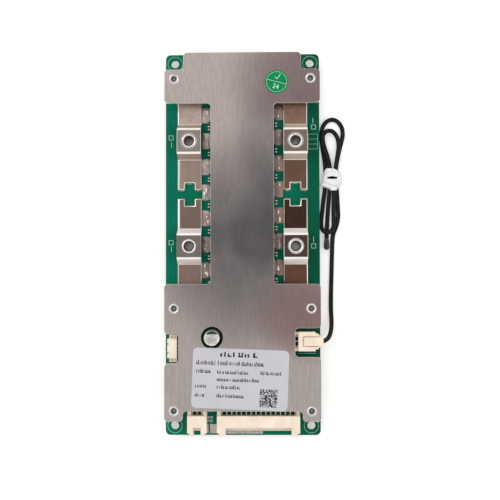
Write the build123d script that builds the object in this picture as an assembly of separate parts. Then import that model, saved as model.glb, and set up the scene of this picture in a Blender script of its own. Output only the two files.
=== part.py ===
from build123d import *
from math import radians, tan
import os

# Battery management board, in millimetres. The origin is on the surface it stands on,
# under the centre of the board. +X is towards the battery terminals, +Y is away from
# the balance header, and +Z is up from the board towards the heat spreader.

# Circuit board
board_width = 80.0
board_length = 197.7
board_thickness = 2.0
board_corner_radius = 2.5
corner_hole_inset = 4.8
corner_hole_diameter = 4.2

# Screws that come up through the board into the heat spreader's standoffs
screw_diameter = 2.4
screw_length = 8.0
screw_head_diameter = 5.6
screw_head_height = 2.4
screw_bore_clearance = 0.2
screw_hole_clearance = 1.0
thread_side_count = 8

# Heat spreader and its standoffs
spreader_thickness = 2.0
spreader_corner_radius = 2.0
spreader_end_setback = 0.7
corner_relief_width = 9.75
corner_relief_length = 9.5
waist_width = 32.4
bay_length = 92.9
bay_centre_y = 25.5
foot_width = 9.4
foot_setback = 8.0
standoff_height = 5.5
standoff_across_flats = 5.6
standoff_shank_diameter = 5.2
standoff_shank_side_count = 12
standoff_edge_distance = 4.9
standoff_top_setback = 14.25
standoff_bottom_setback = 13.35
standoff_bay_distance = 12.5

# Terminal bars with their press-in nuts
terminal_width = 12.4
terminal_thickness = 1.6
terminal_rise = 5.7
terminal_tab_gap = 3.8
terminal_hole_distance = 27.1
terminal_end_gap = 2.4
terminal_pad_length = 11.7
terminal_slope_run = 2.8
terminal_bend_radius = 1.3
terminal_fork_width = 5.3
terminal_fork_depth = 3.6
terminal_corner_chamfer = 0.5
nut_shank_diameter = 7.7
nut_shank_side_count = 16
nut_body_diameter = 9.4
nut_body_height = 3.2
nut_bore_diameter = 4.2
nut_proud = 0.1

# Power transistors, seven on each side of the waist
mosfet_count = 7
mosfet_pitch = 13.5
charge_row_offset = 1.0
battery_row_offset = 2.6
mosfet_width = 10.0
mosfet_body_length = 9.1
mosfet_height = 4.4
mosfet_draft = 6.0
mosfet_parting_height = 2.3
mosfet_tab_thickness = 1.3
mosfet_tab_width = 8.4
mosfet_tab_exposed = 1.4
mosfet_tab_under_body = 6.6
mosfet_tab_chamfer = 1.0
mosfet_tab_reach = 1.2
mosfet_leg_spacing = 2.54
mosfet_leg_width = 0.8
mosfet_leg_thickness = 0.5
mosfet_leg_length = 4.9
mosfet_leg_foot = 2.2
pad_margin = 0.4

# Side-entry headers with 2.5 mm pitch
header_pitch = 2.5
header_end_margin = 2.45
header_depth = 10.4
header_height = 6.1
header_wall = 0.8
header_back_wall = 1.4
header_floor_depth = 8.3
header_step_width = 1.1
header_step_depth = 1.6
header_edge_gap = 0.25
header_rear_tab_width = 1.9
header_rear_tab_depth = 2.1
header_rear_tab_height = 4.6
header_lip = 0.3
pin_thickness = 0.64
pin_height = 2.9
pin_bend_distance = 1.75
pin_tail = 1.4
pin_tip_setback = 0.5
pin_hole_clearance = 0.2
balance_ways = 16
balance_x = 8.0
balance_leg_width = 4.3
balance_roof_depth = 6.0
aux_ways = 3
aux_x = -23.45
aux_leg_width = 3.0
sensor_ways = 3
sensor_bay_distance = 29.45
sensor_back_setback = 11.6
sensor_leg_width = 2.3
sensor_roof_depth = 2.2
sensor_pin_reach = 6.0
sensor_notch_above = 2.0
sensor_notch_below = 2.8
connector_clearance = 0.5

# Side-entry surface-mount header with 2.0 mm pitch, at the left edge
port_pitch = 2.0
port_ways = 4
port_bay_distance = 33.0
port_front_setback = 1.3
port_depth = 5.0
port_height = 5.4
port_end_margin = 1.95
port_wall = 0.7
port_back_wall = 0.9
port_ear_width = 2.0
port_ear_depth = 4.0
port_ear_height = 4.4
port_ear_wall = 0.5
port_ear_pocket_depth = 1.0
port_slot_width = 0.6
port_slot_depth = 1.4
port_slot_spacing = 4.6
port_lip_drop = 0.35
port_pin_thickness = 0.5
port_pin_reach = 3.4
port_pin_height = 2.7
port_leg_length = 1.8
port_notch_back_gap = 1.0

# Electrolytic capacitor that stands up through the spreader
capacitor_x = -15.6
capacitor_bay_distance = 27.35
capacitor_diameter = 8.0
capacitor_height = 10.2
capacitor_base_size = 8.3
capacitor_base_height = 1.0
capacitor_base_chamfer = 1.8
capacitor_groove_height = 2.3
capacitor_groove_depth = 0.35
capacitor_groove_width = 1.0
capacitor_top_chamfer = 0.6
capacitor_hole_gap = 1.65

# Labels on the spreader
label_width = 49.0
label_height = 30.6
label_thickness = 0.12
label_corner_radius = 2.5
label_x = -1.2
label_capacitor_gap = 1.7
label_turn = -2.2
seal_diameter = 12.0
seal_x = 17.8
seal_end_distance = 15.45

# Parts on the board under the spreader
small_part_length = 2.0
small_part_width = 1.25
small_part_height = 0.5
gate_resistor_distance = 2.5
monitor_chip_x = 6.0
monitor_chip_edge_distance = 25.6
monitor_chip_size = 7.0
monitor_chip_leg_count = 8
control_chip_x = -7.0
control_chip_edge_distance = 19.6
control_chip_size = 5.0
control_chip_leg_count = 5
flat_pack_height = 1.4
flat_pack_chamfer = 0.5
flat_pack_leg_pitch = 0.8
flat_pack_leg_width = 0.35
gate_driver_x = -4.0
gate_driver_spacing = 8.0
gate_driver_bay_distance = 9.55
gate_driver_length = 5.0
gate_driver_width = 4.0
gate_driver_height = 1.6
gate_driver_leg_count = 4
isolator_x = -25.0
isolator_spacing = 7.0
isolator_length = 4.6
isolator_width = 4.4
isolator_height = 2.1
isolator_leg_count = 2
gate_driver_leg_pitch = 1.27
isolator_leg_pitch = 2.54
wide_leg_width = 0.45
chip_leg_length = 1.0
chip_leg_height = 0.6
clamp_diode_count = 3
clamp_diode_x = -3.0
clamp_diode_pitch = 11.0
clamp_diode_setback = 12.0
clamp_diode_length = 6.6
clamp_diode_width = 5.9
clamp_diode_height = 2.3
inductor_x = -27.0
inductor_port_distance = 14.55
inductor_size = 7.0
inductor_height = 3.4
inductor_corner_chamfer = 1.2
bleed_resistor_distance = 5.0
bleed_resistor_length = 3.2
bleed_resistor_width = 1.6
bleed_switch_distance = 9.5
bleed_switch_stagger = 3.2
bleed_switch_length = 2.9
bleed_switch_width = 1.4
bleed_switch_height = 1.0
shunt_count = 5
shunt_pitch = 3.9
shunt_width = 3.1
shunt_length = 6.3
shunt_height = 0.9
standoff_shunt_gap = 1.15
terminal_shunt_gap = 1.0

# Sensor plug and its lead. The route's points are chosen by hand.
plug_clearance = 0.1
plug_tail_length = 2.4
plug_tail_width = 6.3
plug_tongue_width = 4.4
plug_tongue_height = 0.55
plug_tongue_setback = 3.0
lead_width = 2.3
lead_side_count = 10
lead_bend_share = 0.45
lead_route = [
    (41.2, -50.4, 7.3),
    (43.5, -50.1, 6.9),
    (45.3, -47.9, 5.2),
    (46.4, -44.6, 3.0),
    (46.7, -40.3, 1.3),
    (46.0, -34.2, 1.2),
    (45.9, -26.4, 1.25),
    (45.4, -16.8, 1.2),
    (46.4, -7.6, 1.25),
    (46.6, 0.6, 1.2),
    (46.9, 6.6, 1.25),
]
hank_neck = (46.9, 33.2)
hank_top = (46.95, 59.6)
hank_top_radius = 6.7
hank_bottom = (45.95, 10.8)
hank_bottom_radius = 5.6
hank_thickness = 3.0
hank_neck_width = 8.0
hank_neck_height = 3.6
hank_grip = 0.6
tie_width = 11.0
tie_length = 11.6
tie_height = 4.8
tie_lift = 0.6
tie_corner_radius = 1.6
bead_diameter = 3.1
bead_length = 6.0
bead_x = 43.7
bead_top_y = 2.6
bead_chamfer = 0.6

# Heights and edges that follow from the sizes above
board_bottom = screw_head_height
board_top = board_bottom + board_thickness
spreader_bottom = board_top + standoff_height
spreader_top = spreader_bottom + spreader_thickness
board_side = board_width / 2
board_end = board_length / 2
waist_side = waist_width / 2
screw_hole_diameter = screw_diameter + screw_hole_clearance
standoff_bore_diameter = screw_diameter + screw_bore_clearance
pin_hole_size = pin_thickness + pin_hole_clearance
bay_low = bay_centre_y - bay_length / 2
sensor_y = bay_low - sensor_bay_distance
port_y = bay_low - port_bay_distance
capacitor_y = bay_low - capacitor_bay_distance
label_y = capacitor_y - capacitor_diameter / 2 - label_capacitor_gap - label_height / 2
header_back_y = header_edge_gap + header_depth - board_end
spreader_low_y = header_back_y + header_rear_tab_depth + connector_clearance
seal_y = board_end - spreader_end_setback - seal_end_distance
monitor_chip_spot = (monitor_chip_x, spreader_low_y + monitor_chip_edge_distance)
control_chip_spot = (control_chip_x, spreader_low_y + control_chip_edge_distance)
gate_driver_spots = [
    (gate_driver_x + side * gate_driver_spacing / 2, bay_low - gate_driver_bay_distance)
    for side in (-1, 1)
]
isolator_spots = [(isolator_x, port_y + side * isolator_spacing / 2) for side in (-1, 1)]
inductor_spot = (inductor_x, port_y - inductor_port_distance)
tab_outer_x = waist_side + mosfet_tab_reach
terminal_x = tab_outer_x + terminal_tab_gap + terminal_width / 2
sensor_back_x = board_side - sensor_back_setback
port_back_x = port_front_setback + port_depth - board_side
corner_hole_spots = [
    (side * (board_side - corner_hole_inset), end * (board_end - corner_hole_inset))
    for side in (-1, 1)
    for end in (-1, 1)
]
standoff_rows = [
    board_end - standoff_top_setback,
    bay_low - standoff_bay_distance,
    standoff_bottom_setback - board_end,
]
standoff_spots = [
    (side * (board_side - standoff_edge_distance), y)
    for y in standoff_rows
    for side in (-1, 1)
]


def block(low, high):
    """A block between its low corner and its high corner."""
    sizes = [b - a for a, b in zip(low, high)]
    centre = [(a + b) / 2 for a, b in zip(low, high)]
    return Pos(*centre) * Box(*sizes)


def upright(radius, low, high):
    """A round post on the Z axis between two heights."""
    return Pos(0, 0, (low + high) / 2) * Cylinder(radius, high - low)


def prism(radius, side_count, low, high):
    """A post with flat sides on the Z axis, its edges on a circle of this radius."""
    return Pos(0, 0, low) * extrude(RegularPolygon(radius, side_count), high - low)


def strip(points, bend_radius, thickness, width):
    """A strip of sheet bent along a path in the YZ plane, centred on X."""
    path = FilletPolyline(*points, radius=bend_radius)
    return extrude(Plane.YZ * trace(path, thickness), width / 2, both=True)


def chip_part(x, y, length, width, height):
    """A small block-shaped part soldered on the board, its length along X."""
    low = (x - length / 2, y - width / 2, board_top)
    high = (x + length / 2, y + width / 2, board_top + height)
    return block(low, high)


def header_width(ways):
    return (ways - 1) * header_pitch + 2 * header_end_margin


def pin_offsets(ways, pitch):
    return [(index - (ways - 1) / 2) * pitch for index in range(ways)]


# Each header is drawn with its back on Y = 0, its mouth towards -Y and its foot on
# Z = 0. These places move it to the board.
balance_place = Pos(balance_x, header_back_y, board_top)
aux_place = Pos(aux_x, header_back_y, board_top)
sensor_place = Pos(sensor_back_x, sensor_y, board_top) * Rot(0, 0, 90)
port_place = Pos(port_back_x, port_y, board_top) * Rot(0, 0, -90)
through_pin_rows = [
    (balance_place, balance_ways),
    (aux_place, aux_ways),
    (sensor_place, sensor_ways),
]


def circuit_board():
    outline = RectangleRounded(board_width, board_length, board_corner_radius)
    outline -= [Pos(x, y) * Circle(corner_hole_diameter / 2) for x, y in corner_hole_spots]
    screw_hole = RegularPolygon(screw_hole_diameter / 2, thread_side_count)
    outline -= [Pos(x, y) * screw_hole for x, y in standoff_spots]
    board = Pos(0, 0, board_bottom) * extrude(outline, board_thickness)
    pin_hole = Box(pin_hole_size, pin_hole_size, 3 * board_thickness)
    for place, ways in through_pin_rows:
        for x in pin_offsets(ways, header_pitch):
            board -= place * Pos(x, pin_bend_distance) * pin_hole
    return board


def heat_spreader():
    """The plate is cut flat, and every corner of its outline has the same radius."""
    high = board_end - spreader_end_setback
    low = foot_setback - board_end
    outline = Pos(0, (high + low) / 2) * Rectangle(board_width, high - low)
    bay_depth = board_side - waist_side
    relief_edge = board_end - corner_relief_length
    for side in (-1, 1):
        outline -= Pos(side * (board_side - bay_depth / 2), bay_centre_y) * Rectangle(
            bay_depth, bay_length
        )
        outline -= Pos(side * board_side, high) * Rectangle(
            2 * corner_relief_width, 2 * (high - relief_edge)
        )
    foot_inner = board_side - foot_width
    outline -= Pos(0, low) * Rectangle(2 * foot_inner, 2 * (spreader_low_y - low))
    outline -= port_notch() + sensor_notch()
    outline = fillet(outline.vertices(), spreader_corner_radius)
    hole_radius = capacitor_diameter / 2 + capacitor_hole_gap
    outline -= Pos(capacitor_x, capacitor_y) * Circle(hole_radius)
    shank_hole = RegularPolygon(standoff_shank_diameter / 2, standoff_shank_side_count)
    outline -= [Pos(x, y) * shank_hole for x, y in standoff_spots]
    return Pos(0, 0, spreader_bottom) * extrude(outline, spreader_thickness)


def port_notch():
    inner_x = port_back_x + port_notch_back_gap
    half = port_outer_width() / 2 + connector_clearance
    return Pos(-board_side, port_y) * Rectangle(2 * (inner_x + board_side), 2 * half)


def sensor_notch():
    inner_x = sensor_back_x - header_rear_tab_depth + connector_clearance
    low = sensor_y - header_width(sensor_ways) / 2 - sensor_notch_below
    high = sensor_y + header_width(sensor_ways) / 2 + sensor_notch_above
    return Pos(board_side, (low + high) / 2) * Rectangle(2 * (board_side - inner_x), high - low)


def standoffs():
    """Hexagonal standoffs whose knurled ends are pressed into the plate."""
    hexagon = RegularPolygon(standoff_across_flats / 2, 6, major_radius=False)
    barrel = Pos(0, 0, board_top) * extrude(hexagon, standoff_height)
    shank = prism(standoff_shank_diameter / 2, standoff_shank_side_count, spreader_bottom, spreader_top)
    bore = upright(standoff_bore_diameter / 2, board_top, spreader_top)
    standoff = barrel + shank - bore
    return [Pos(x, y) * standoff for x, y in standoff_spots]


def spreader_screws():
    """Cylinder head screws. The object stands on their six heads."""
    head = upright(screw_head_diameter / 2, 0, screw_head_height)
    screw_top = screw_head_height + screw_length
    screw = head + prism(screw_diameter / 2, thread_side_count, screw_head_height, screw_top)
    return [Pos(x, y) * screw for x, y in standoff_spots]


def terminal_bar():
    """One bar about its pad's hole: flat, slope, raised pad, slope and flat."""
    half_length = terminal_hole_distance - terminal_end_gap
    half_pad = terminal_pad_length / 2
    slope_foot = half_pad + terminal_slope_run
    low = terminal_thickness / 2
    high = low + terminal_rise
    profile = [
        (-half_length, low),
        (-slope_foot, low),
        (-half_pad, high),
        (half_pad, high),
        (slope_foot, low),
        (half_length, low),
    ]
    bar = strip(profile, terminal_bend_radius, terminal_thickness, terminal_width)
    fork = Rectangle(terminal_fork_width, 2 * terminal_fork_depth)
    fork = chamfer(fork.vertices(), terminal_corner_chamfer)
    for end in (-1, 1):
        bar -= Pos(0, end * half_length) * extrude(fork, 2 * terminal_thickness, both=True)
    nut_hole_top = terminal_rise + 2 * terminal_thickness
    bar -= prism(nut_shank_diameter / 2, nut_shank_side_count, terminal_rise, nut_hole_top)
    ends = bar.edges().filter_by(Axis.Z).filter_by(
        lambda edge: abs(abs(edge.center().Y) - half_length) < terminal_corner_chamfer / 2
    )
    return chamfer(ends, terminal_corner_chamfer)


def terminal_nut():
    """A press-in nut: its knurled shank fills the pad's hole and its body is below."""
    pad_bottom = terminal_rise
    top = pad_bottom + terminal_thickness + nut_proud
    bottom = pad_bottom - nut_body_height
    nut = upright(nut_body_diameter / 2, bottom, pad_bottom)
    nut += prism(nut_shank_diameter / 2, nut_shank_side_count, pad_bottom, top)
    return nut - upright(nut_bore_diameter / 2, bottom, top)


def terminal_spots():
    """Name and place of each terminal, from the line half way along the bays."""
    for side, name in ((-1, "charge"), (1, "battery")):
        for end, level in ((1, "upper"), (-1, "lower")):
            y = bay_centre_y + end * terminal_hole_distance
            yield name, level, Pos(side * terminal_x, y, board_top)


def mosfet_spots(side):
    """Places along one row. The tab points outwards, to -X on the charge side."""
    offset = charge_row_offset if side < 0 else battery_row_offset
    turn = 180 if side < 0 else 0
    return [
        Pos(side * tab_outer_x, bay_centre_y + offset + y, board_top) * Rot(0, 0, turn)
        for y in reversed(pin_offsets(mosfet_count, mosfet_pitch))
    ]


def mosfet_tab():
    """The metal tab that the body is moulded on, its outer edge on X = 0."""
    length = mosfet_tab_exposed + mosfet_tab_under_body
    outline = Pos(-length / 2, 0) * Rectangle(length, mosfet_tab_width)
    outline = chamfer(outline.vertices().group_by(Axis.X)[-1], mosfet_tab_chamfer)
    return extrude(outline, mosfet_tab_thickness)


def mosfet_body():
    """A moulded body: straight up to the parting line, then drawn in to its top."""
    centre = -mosfet_tab_exposed - mosfet_body_length / 2
    outline = Pos(centre, 0) * Rectangle(mosfet_body_length, mosfet_width)
    body = extrude(outline, mosfet_parting_height)
    upper = Pos(0, 0, mosfet_parting_height) * outline
    body += extrude(upper, mosfet_height - mosfet_parting_height, taper=mosfet_draft)
    return body - mosfet_tab()


def mosfet_legs():
    """Two formed legs and the stub of the middle one, on the side away from the tab."""
    face = -mosfet_tab_exposed - mosfet_body_length
    half = mosfet_leg_thickness / 2
    tip = face - mosfet_leg_length
    foot = tip + mosfet_leg_foot
    shoulder = face - mosfet_leg_width
    path = Polyline(
        (face, mosfet_parting_height),
        (shoulder, mosfet_parting_height),
        (foot, half),
        (tip, half),
    )
    leg = extrude(Plane.XZ * trace(path, mosfet_leg_thickness), mosfet_leg_width / 2, both=True)
    stub_low = (shoulder, -mosfet_leg_width / 2, mosfet_parting_height - half)
    stub = block(stub_low, (face, mosfet_leg_width / 2, mosfet_parting_height + half))
    return [Pos(0, side * mosfet_leg_spacing) * leg for side in (-1, 1)] + [stub]


def mosfet_frames(side):
    """The tabs and legs of one row."""
    frame = [mosfet_tab()] + mosfet_legs()
    return [place * piece for place in mosfet_spots(side) for piece in frame]


def thermal_pad(side):
    """A silicone strip that fills the gap between one row's bodies and the plate."""
    rows = [place.position.Y for place in mosfet_spots(side)]
    centre = (max(rows) + min(rows)) / 2
    length = max(rows) - min(rows) + mosfet_width - 2 * pad_margin
    body_outer = tab_outer_x - mosfet_tab_exposed
    draw_in = (mosfet_height - mosfet_parting_height) * tan(radians(mosfet_draft))
    width = mosfet_body_length - 2 * draw_in - 2 * pad_margin
    x = side * (body_outer - mosfet_body_length / 2)
    low = (x - width / 2, centre - length / 2, board_top + mosfet_height)
    return block(low, (x + width / 2, centre + length / 2, spreader_bottom))


def bay_resistors():
    """One chip part below each tab, just outside the waist's edge."""
    return [
        chip_part(
            side * tab_outer_x,
            place.position.Y - mosfet_pitch / 2,
            small_part_width,
            small_part_length,
            small_part_height,
        )
        for side in (-1, 1)
        for place in mosfet_spots(side)
    ]


def gate_resistors():
    """One chip part beside each transistor's legs."""
    body_inner = tab_outer_x - mosfet_tab_exposed - mosfet_body_length
    return [
        chip_part(
            side * (body_inner - gate_resistor_distance),
            place.position.Y - mosfet_pitch / 2,
            small_part_length,
            small_part_width,
            small_part_height,
        )
        for side in (-1, 1)
        for place in mosfet_spots(side)
    ]


def plug_header(ways, roof_depth, leg_width):
    """A side-entry header: a box with a cut-back roof and floor between two legs,
    open towards -Y, with two tabs that stand behind its ends."""
    side = header_width(ways) / 2
    mouth = -header_depth
    inner_side = side - header_wall
    shell = block((-side, mouth, 0), (side, 0, header_height))
    shell -= block(
        (-inner_side, mouth, header_wall),
        (inner_side, -header_back_wall, header_height - header_wall),
    )
    leg_inner = side - leg_width
    above = header_height + header_wall
    shell -= block((-leg_inner, mouth, header_height / 2), (leg_inner, -roof_depth, above))
    shell -= block(
        (-leg_inner, mouth, -header_wall), (leg_inner, -header_floor_depth, header_height / 2)
    )
    for end in (-1, 1):
        step = Pos(end * (side - header_step_width / 2), mouth + header_step_depth / 2) * Box(
            header_step_width, header_step_depth, 2 * above
        )
        shell -= step
        tab_x = end * (side - header_rear_tab_width / 2)
        tab_centre = Pos(tab_x, header_rear_tab_depth / 2, header_rear_tab_height / 2)
        shell += tab_centre * Box(
            header_rear_tab_width, header_rear_tab_depth, header_rear_tab_height
        )
    rim = shell.edges().group_by(Axis.Z)[-1].filter_by(Axis.X).sort_by(Axis.Y)[-1]
    shell = chamfer(rim, header_lip)
    half_pin = pin_thickness / 2
    for x in pin_offsets(ways, header_pitch):
        shell -= block(
            (x - half_pin, -2 * header_back_wall, pin_height - half_pin),
            (x + half_pin, header_back_wall, pin_height + half_pin),
        )
    return shell


def header_pins(ways, reach):
    """Square pins that reach into the header, bend down behind it and pass through
    the board."""
    path = [
        (-reach, pin_height),
        (pin_bend_distance, pin_height),
        (pin_bend_distance, -board_thickness - pin_tail),
    ]
    pin = strip(path, 0, pin_thickness, pin_thickness)
    return [Pos(x) * pin for x in pin_offsets(ways, header_pitch)]


def port_outer_width():
    main = (port_ways - 1) * port_pitch + 2 * port_end_margin
    return main + 2 * port_ear_width


def port_header():
    """A small surface-mount header with solder ears at both ends."""
    side = port_outer_width() / 2 - port_ear_width
    mouth = -port_depth
    body = block((-side, mouth, 0), (side, 0, port_height))
    body -= block(
        (port_wall - side, mouth, port_wall),
        (side - port_wall, -port_back_wall, port_height - port_wall),
    )
    lip_low = port_height - port_lip_drop
    lip_end = mouth + port_slot_depth
    body -= block((-side, mouth, lip_low), (side, lip_end, port_height))
    for end in (-1, 1):
        x = end * port_slot_spacing / 2
        body -= block(
            (x - port_slot_width / 2, mouth, port_height / 2),
            (x + port_slot_width / 2, lip_end, port_height),
        )
        ear_x = end * (side + port_ear_width / 2)
        ear = Pos(ear_x, -port_ear_depth / 2, port_ear_height / 2) * Box(
            port_ear_width, port_ear_depth, port_ear_height
        )
        pocket = Pos(ear_x, -port_ear_depth / 2, port_ear_height) * Box(
            port_ear_width - 2 * port_ear_wall,
            port_ear_depth - 2 * port_ear_wall,
            2 * port_ear_pocket_depth,
        )
        body += ear - pocket
    half_pin = port_pin_thickness / 2
    for x in pin_offsets(port_ways, port_pitch):
        body -= block(
            (x - half_pin, -2 * port_back_wall, port_pin_height - half_pin),
            (x + half_pin, port_back_wall, port_pin_height + half_pin),
        )
    return body


def port_pins():
    """Pins that step down behind the header to solder feet on the board."""
    half = port_pin_thickness / 2
    shoulder = port_leg_length / 2
    path = [
        (-port_pin_reach, port_pin_height),
        (shoulder, port_pin_height),
        (shoulder, half),
        (port_leg_length, half),
    ]
    pin = strip(path, 0, port_pin_thickness, port_pin_thickness)
    return [Pos(x) * pin for x in pin_offsets(port_ways, port_pitch)]


def sensor_plug():
    """The mating plug, in its header's place: a body that fills the header, a latch
    tongue along its top and a narrower end where the lead comes out."""
    side = header_width(sensor_ways) / 2 - header_wall - plug_clearance
    front = -header_back_wall - plug_clearance
    low = header_wall + plug_clearance
    high = header_height - header_wall - plug_clearance
    end = -header_depth - plug_tail_length
    plug = block((-side, -header_depth, low), (side, front, high))
    plug += block((-plug_tail_width / 2, end, low), (plug_tail_width / 2, -header_depth, high))
    tongue_half = plug_tongue_width / 2
    tongue_top = header_height + plug_tongue_height
    plug += block(
        (-tongue_half, end, high), (tongue_half, -plug_tongue_setback, tongue_top)
    )
    socket_half = pin_thickness / 2 + plug_clearance
    for x in pin_offsets(sensor_ways, header_pitch):
        plug -= block(
            (x - socket_half, -sensor_pin_reach - plug_clearance, pin_height - socket_half),
            (x + socket_half, front, pin_height + socket_half),
        )
    corners = plug.edges().filter_by(Axis.Z).filter_by(
        lambda edge: abs(edge.center().Y - end) < plug_clearance
    )
    return chamfer(corners, header_lip)


def capacitor_base():
    """A square moulded seat with two cut corners."""
    outline = Rectangle(capacitor_base_size, capacitor_base_size)
    outline = chamfer(outline.vertices().group_by(Axis.Y)[-1], capacitor_base_chamfer)
    return Pos(capacitor_x, capacitor_y, board_top) * extrude(outline, capacitor_base_height)


def capacitor_can():
    """A drawn can with a rolled groove above its seat and a drawn-in rim."""
    radius = capacitor_diameter / 2
    can = upright(radius, capacitor_base_height, capacitor_height)
    can = chamfer(can.edges().sort_by(Axis.Z)[-1], capacitor_top_chamfer)
    ring = Pos(0, 0, capacitor_groove_height) * Cylinder(2 * radius, capacitor_groove_width)
    ring -= upright(radius - capacitor_groove_depth, 0, capacitor_height)
    return Pos(capacitor_x, capacitor_y, board_top) * (can - ring)


def rating_label():
    outline = RectangleRounded(label_width, label_height, label_corner_radius)
    place = Pos(label_x, label_y, spreader_top) * Rot(0, 0, label_turn)
    return place * extrude(outline, label_thickness)


def inspection_sticker():
    return Pos(seal_x, seal_y, spreader_top) * extrude(Circle(seal_diameter / 2), label_thickness)


def flat_pack_chip(spot, size):
    """A square chip body with one cut corner."""
    outline = Rectangle(size, size)
    outline = chamfer(outline.vertices()[0], flat_pack_chamfer)
    return Pos(*spot, board_top) * extrude(outline, flat_pack_height)


def leg_row(spot, turn, reach, count, pitch, width):
    """A row of chip legs that starts at the body's side, `reach` from its middle."""
    leg = block((-width / 2, reach, 0), (width / 2, reach + chip_leg_length, chip_leg_height))
    place = Pos(*spot, board_top) * Rot(0, 0, turn)
    return [place * Pos(x) * leg for x in pin_offsets(count, pitch)]


def chip_legs():
    """Legs on all sides of both square chips, and on both ends of the small ones."""
    legs = []
    for spot, size, count in (
        (monitor_chip_spot, monitor_chip_size, monitor_chip_leg_count),
        (control_chip_spot, control_chip_size, control_chip_leg_count),
    ):
        for turn in (0, 90, 180, 270):
            legs += leg_row(spot, turn, size / 2, count, flat_pack_leg_pitch, flat_pack_leg_width)
    for spots, width, count, pitch in (
        (gate_driver_spots, gate_driver_width, gate_driver_leg_count, gate_driver_leg_pitch),
        (isolator_spots, isolator_width, isolator_leg_count, isolator_leg_pitch),
    ):
        for spot in spots:
            for turn in (0, 180):
                legs += leg_row(spot, turn, width / 2, count, pitch, wide_leg_width)
    return legs


def gate_drivers():
    return [
        chip_part(*spot, gate_driver_length, gate_driver_width, gate_driver_height)
        for spot in gate_driver_spots
    ]


def port_isolators():
    return [
        chip_part(*spot, isolator_length, isolator_width, isolator_height)
        for spot in isolator_spots
    ]


def clamp_diodes():
    """Block-shaped surge clamps across the supply, at the upper end."""
    y = board_end - clamp_diode_setback
    return [
        chip_part(clamp_diode_x + x, y, clamp_diode_length, clamp_diode_width, clamp_diode_height)
        for x in pin_offsets(clamp_diode_count, clamp_diode_pitch)
    ]


def current_shunts():
    """Low-value measuring resistors side by side, below the lower battery terminal."""
    terminal_low_y = bay_centre_y - 2 * terminal_hole_distance + terminal_end_gap
    y = terminal_low_y - terminal_shunt_gap - shunt_length / 2
    standoff_inner_x = board_side - standoff_edge_distance - standoff_across_flats / 2
    outer_x = standoff_inner_x - standoff_shunt_gap - shunt_width / 2
    return [
        chip_part(outer_x - index * shunt_pitch, y, shunt_width, shunt_length, shunt_height)
        for index in range(shunt_count)
    ]


def balance_spots():
    return [balance_x + x for x in pin_offsets(balance_ways, header_pitch)]


def balance_resistors():
    """One bleed resistor in line with each pin of the balance header."""
    y = spreader_low_y + bleed_resistor_distance
    return [
        chip_part(x, y, bleed_resistor_width, bleed_resistor_length, small_part_height)
        for x in balance_spots()
    ]


def balance_transistors():
    """One switch for each bleed resistor, in two staggered rows."""
    low = spreader_low_y + bleed_switch_distance
    return [
        chip_part(
            x,
            low + bleed_switch_stagger * (index % 2),
            bleed_switch_length,
            bleed_switch_width,
            bleed_switch_height,
        )
        for index, x in enumerate(balance_spots())
    ]


def regulator_inductor():
    outline = Rectangle(inductor_size, inductor_size)
    outline = chamfer(outline.vertices(), inductor_corner_chamfer)
    return Pos(*inductor_spot, board_top) * extrude(outline, inductor_height)


def sensor_lead():
    """The lead's loose run, from the plug to the tied hank: straight runs joined by
    the largest arcs that they leave room for."""
    points = [Vector(*point) for point in lead_route]
    radii = [0.0]
    for before, here, after in zip(points, points[1:], points[2:]):
        turn = (here - before).get_angle(after - here)
        shorter = min((here - before).length, (after - here).length)
        radii.append(lead_bend_share * shorter / tan(radians(turn) / 2))
    radii.append(0.0)
    print("lead radii", [round(radius, 1) for radius in radii[1:-1]])
    path = FilletPolyline(*points, radius=radii[1:-1])
    section = Plane(origin=path @ 0, z_dir=path % 0) * RegularPolygon(
        lead_width / 2, lead_side_count
    )
    lead = sweep(section, path)
    expected = path.length * section.area
    print("lead length", round(path.length, 1), "volume", round(lead.volume / expected, 4))
    return lead


def sensor_lead_hank():
    """The tied loops as one solid of their outer shape: two lobes and a waist."""
    neck_half = tie_length / 2
    neck_x, neck_y = hank_neck
    lobes = Sketch()
    for centre, radius, end in (
        (hank_top, hank_top_radius, 1),
        (hank_bottom, hank_bottom_radius, -1),
    ):
        wide = Pos(*centre) * Circle(radius)
        waist = Pos(neck_x, neck_y + end * (neck_half + hank_neck_width / 2)) * Circle(
            hank_neck_width / 2
        )
        lobes += make_hull(wide.edges() + waist.edges())
    body = extrude(lobes, hank_thickness)
    neck = Pos(neck_x, neck_y, tie_lift + hank_neck_height / 2) * Box(
        hank_neck_width, tie_length + hank_neck_width, hank_neck_height
    )
    return body + neck


def lead_tie():
    """A strip of white tape wound round the hank's waist."""
    outline = RectangleRounded(tie_width, tie_height, tie_corner_radius)
    band = extrude(Plane.XZ * outline, tie_length / 2, both=True)
    hole = Box(hank_neck_width, 2 * tie_length, hank_neck_height)
    neck_middle = tie_lift + hank_neck_height / 2
    band = Pos(0, 0, tie_height / 2) * band - Pos(0, 0, neck_middle) * hole
    return Pos(*hank_neck) * band


def sensor_lead_tail():
    """The end of the lead between the hank and the bead."""
    start_y = hank_bottom[1] - hank_bottom_radius + hank_grip
    radius = lead_width / 2
    middle = (start_y + bead_top_y) / 2
    tail = Rot(90, 0, 0) * Cylinder(radius, start_y - bead_top_y)
    return Pos(bead_x, middle, bead_diameter / 2) * tail


def thermistor_bead():
    """A dipped bead at the end of the lead."""
    radius = bead_diameter / 2
    bead = Cylinder(radius, bead_length)
    bead = chamfer(bead.edges().filter_by(GeomType.CIRCLE), bead_chamfer)
    return Pos(bead_x, bead_top_y - bead_length / 2, radius) * (Rot(90, 0, 0) * bead)


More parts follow.
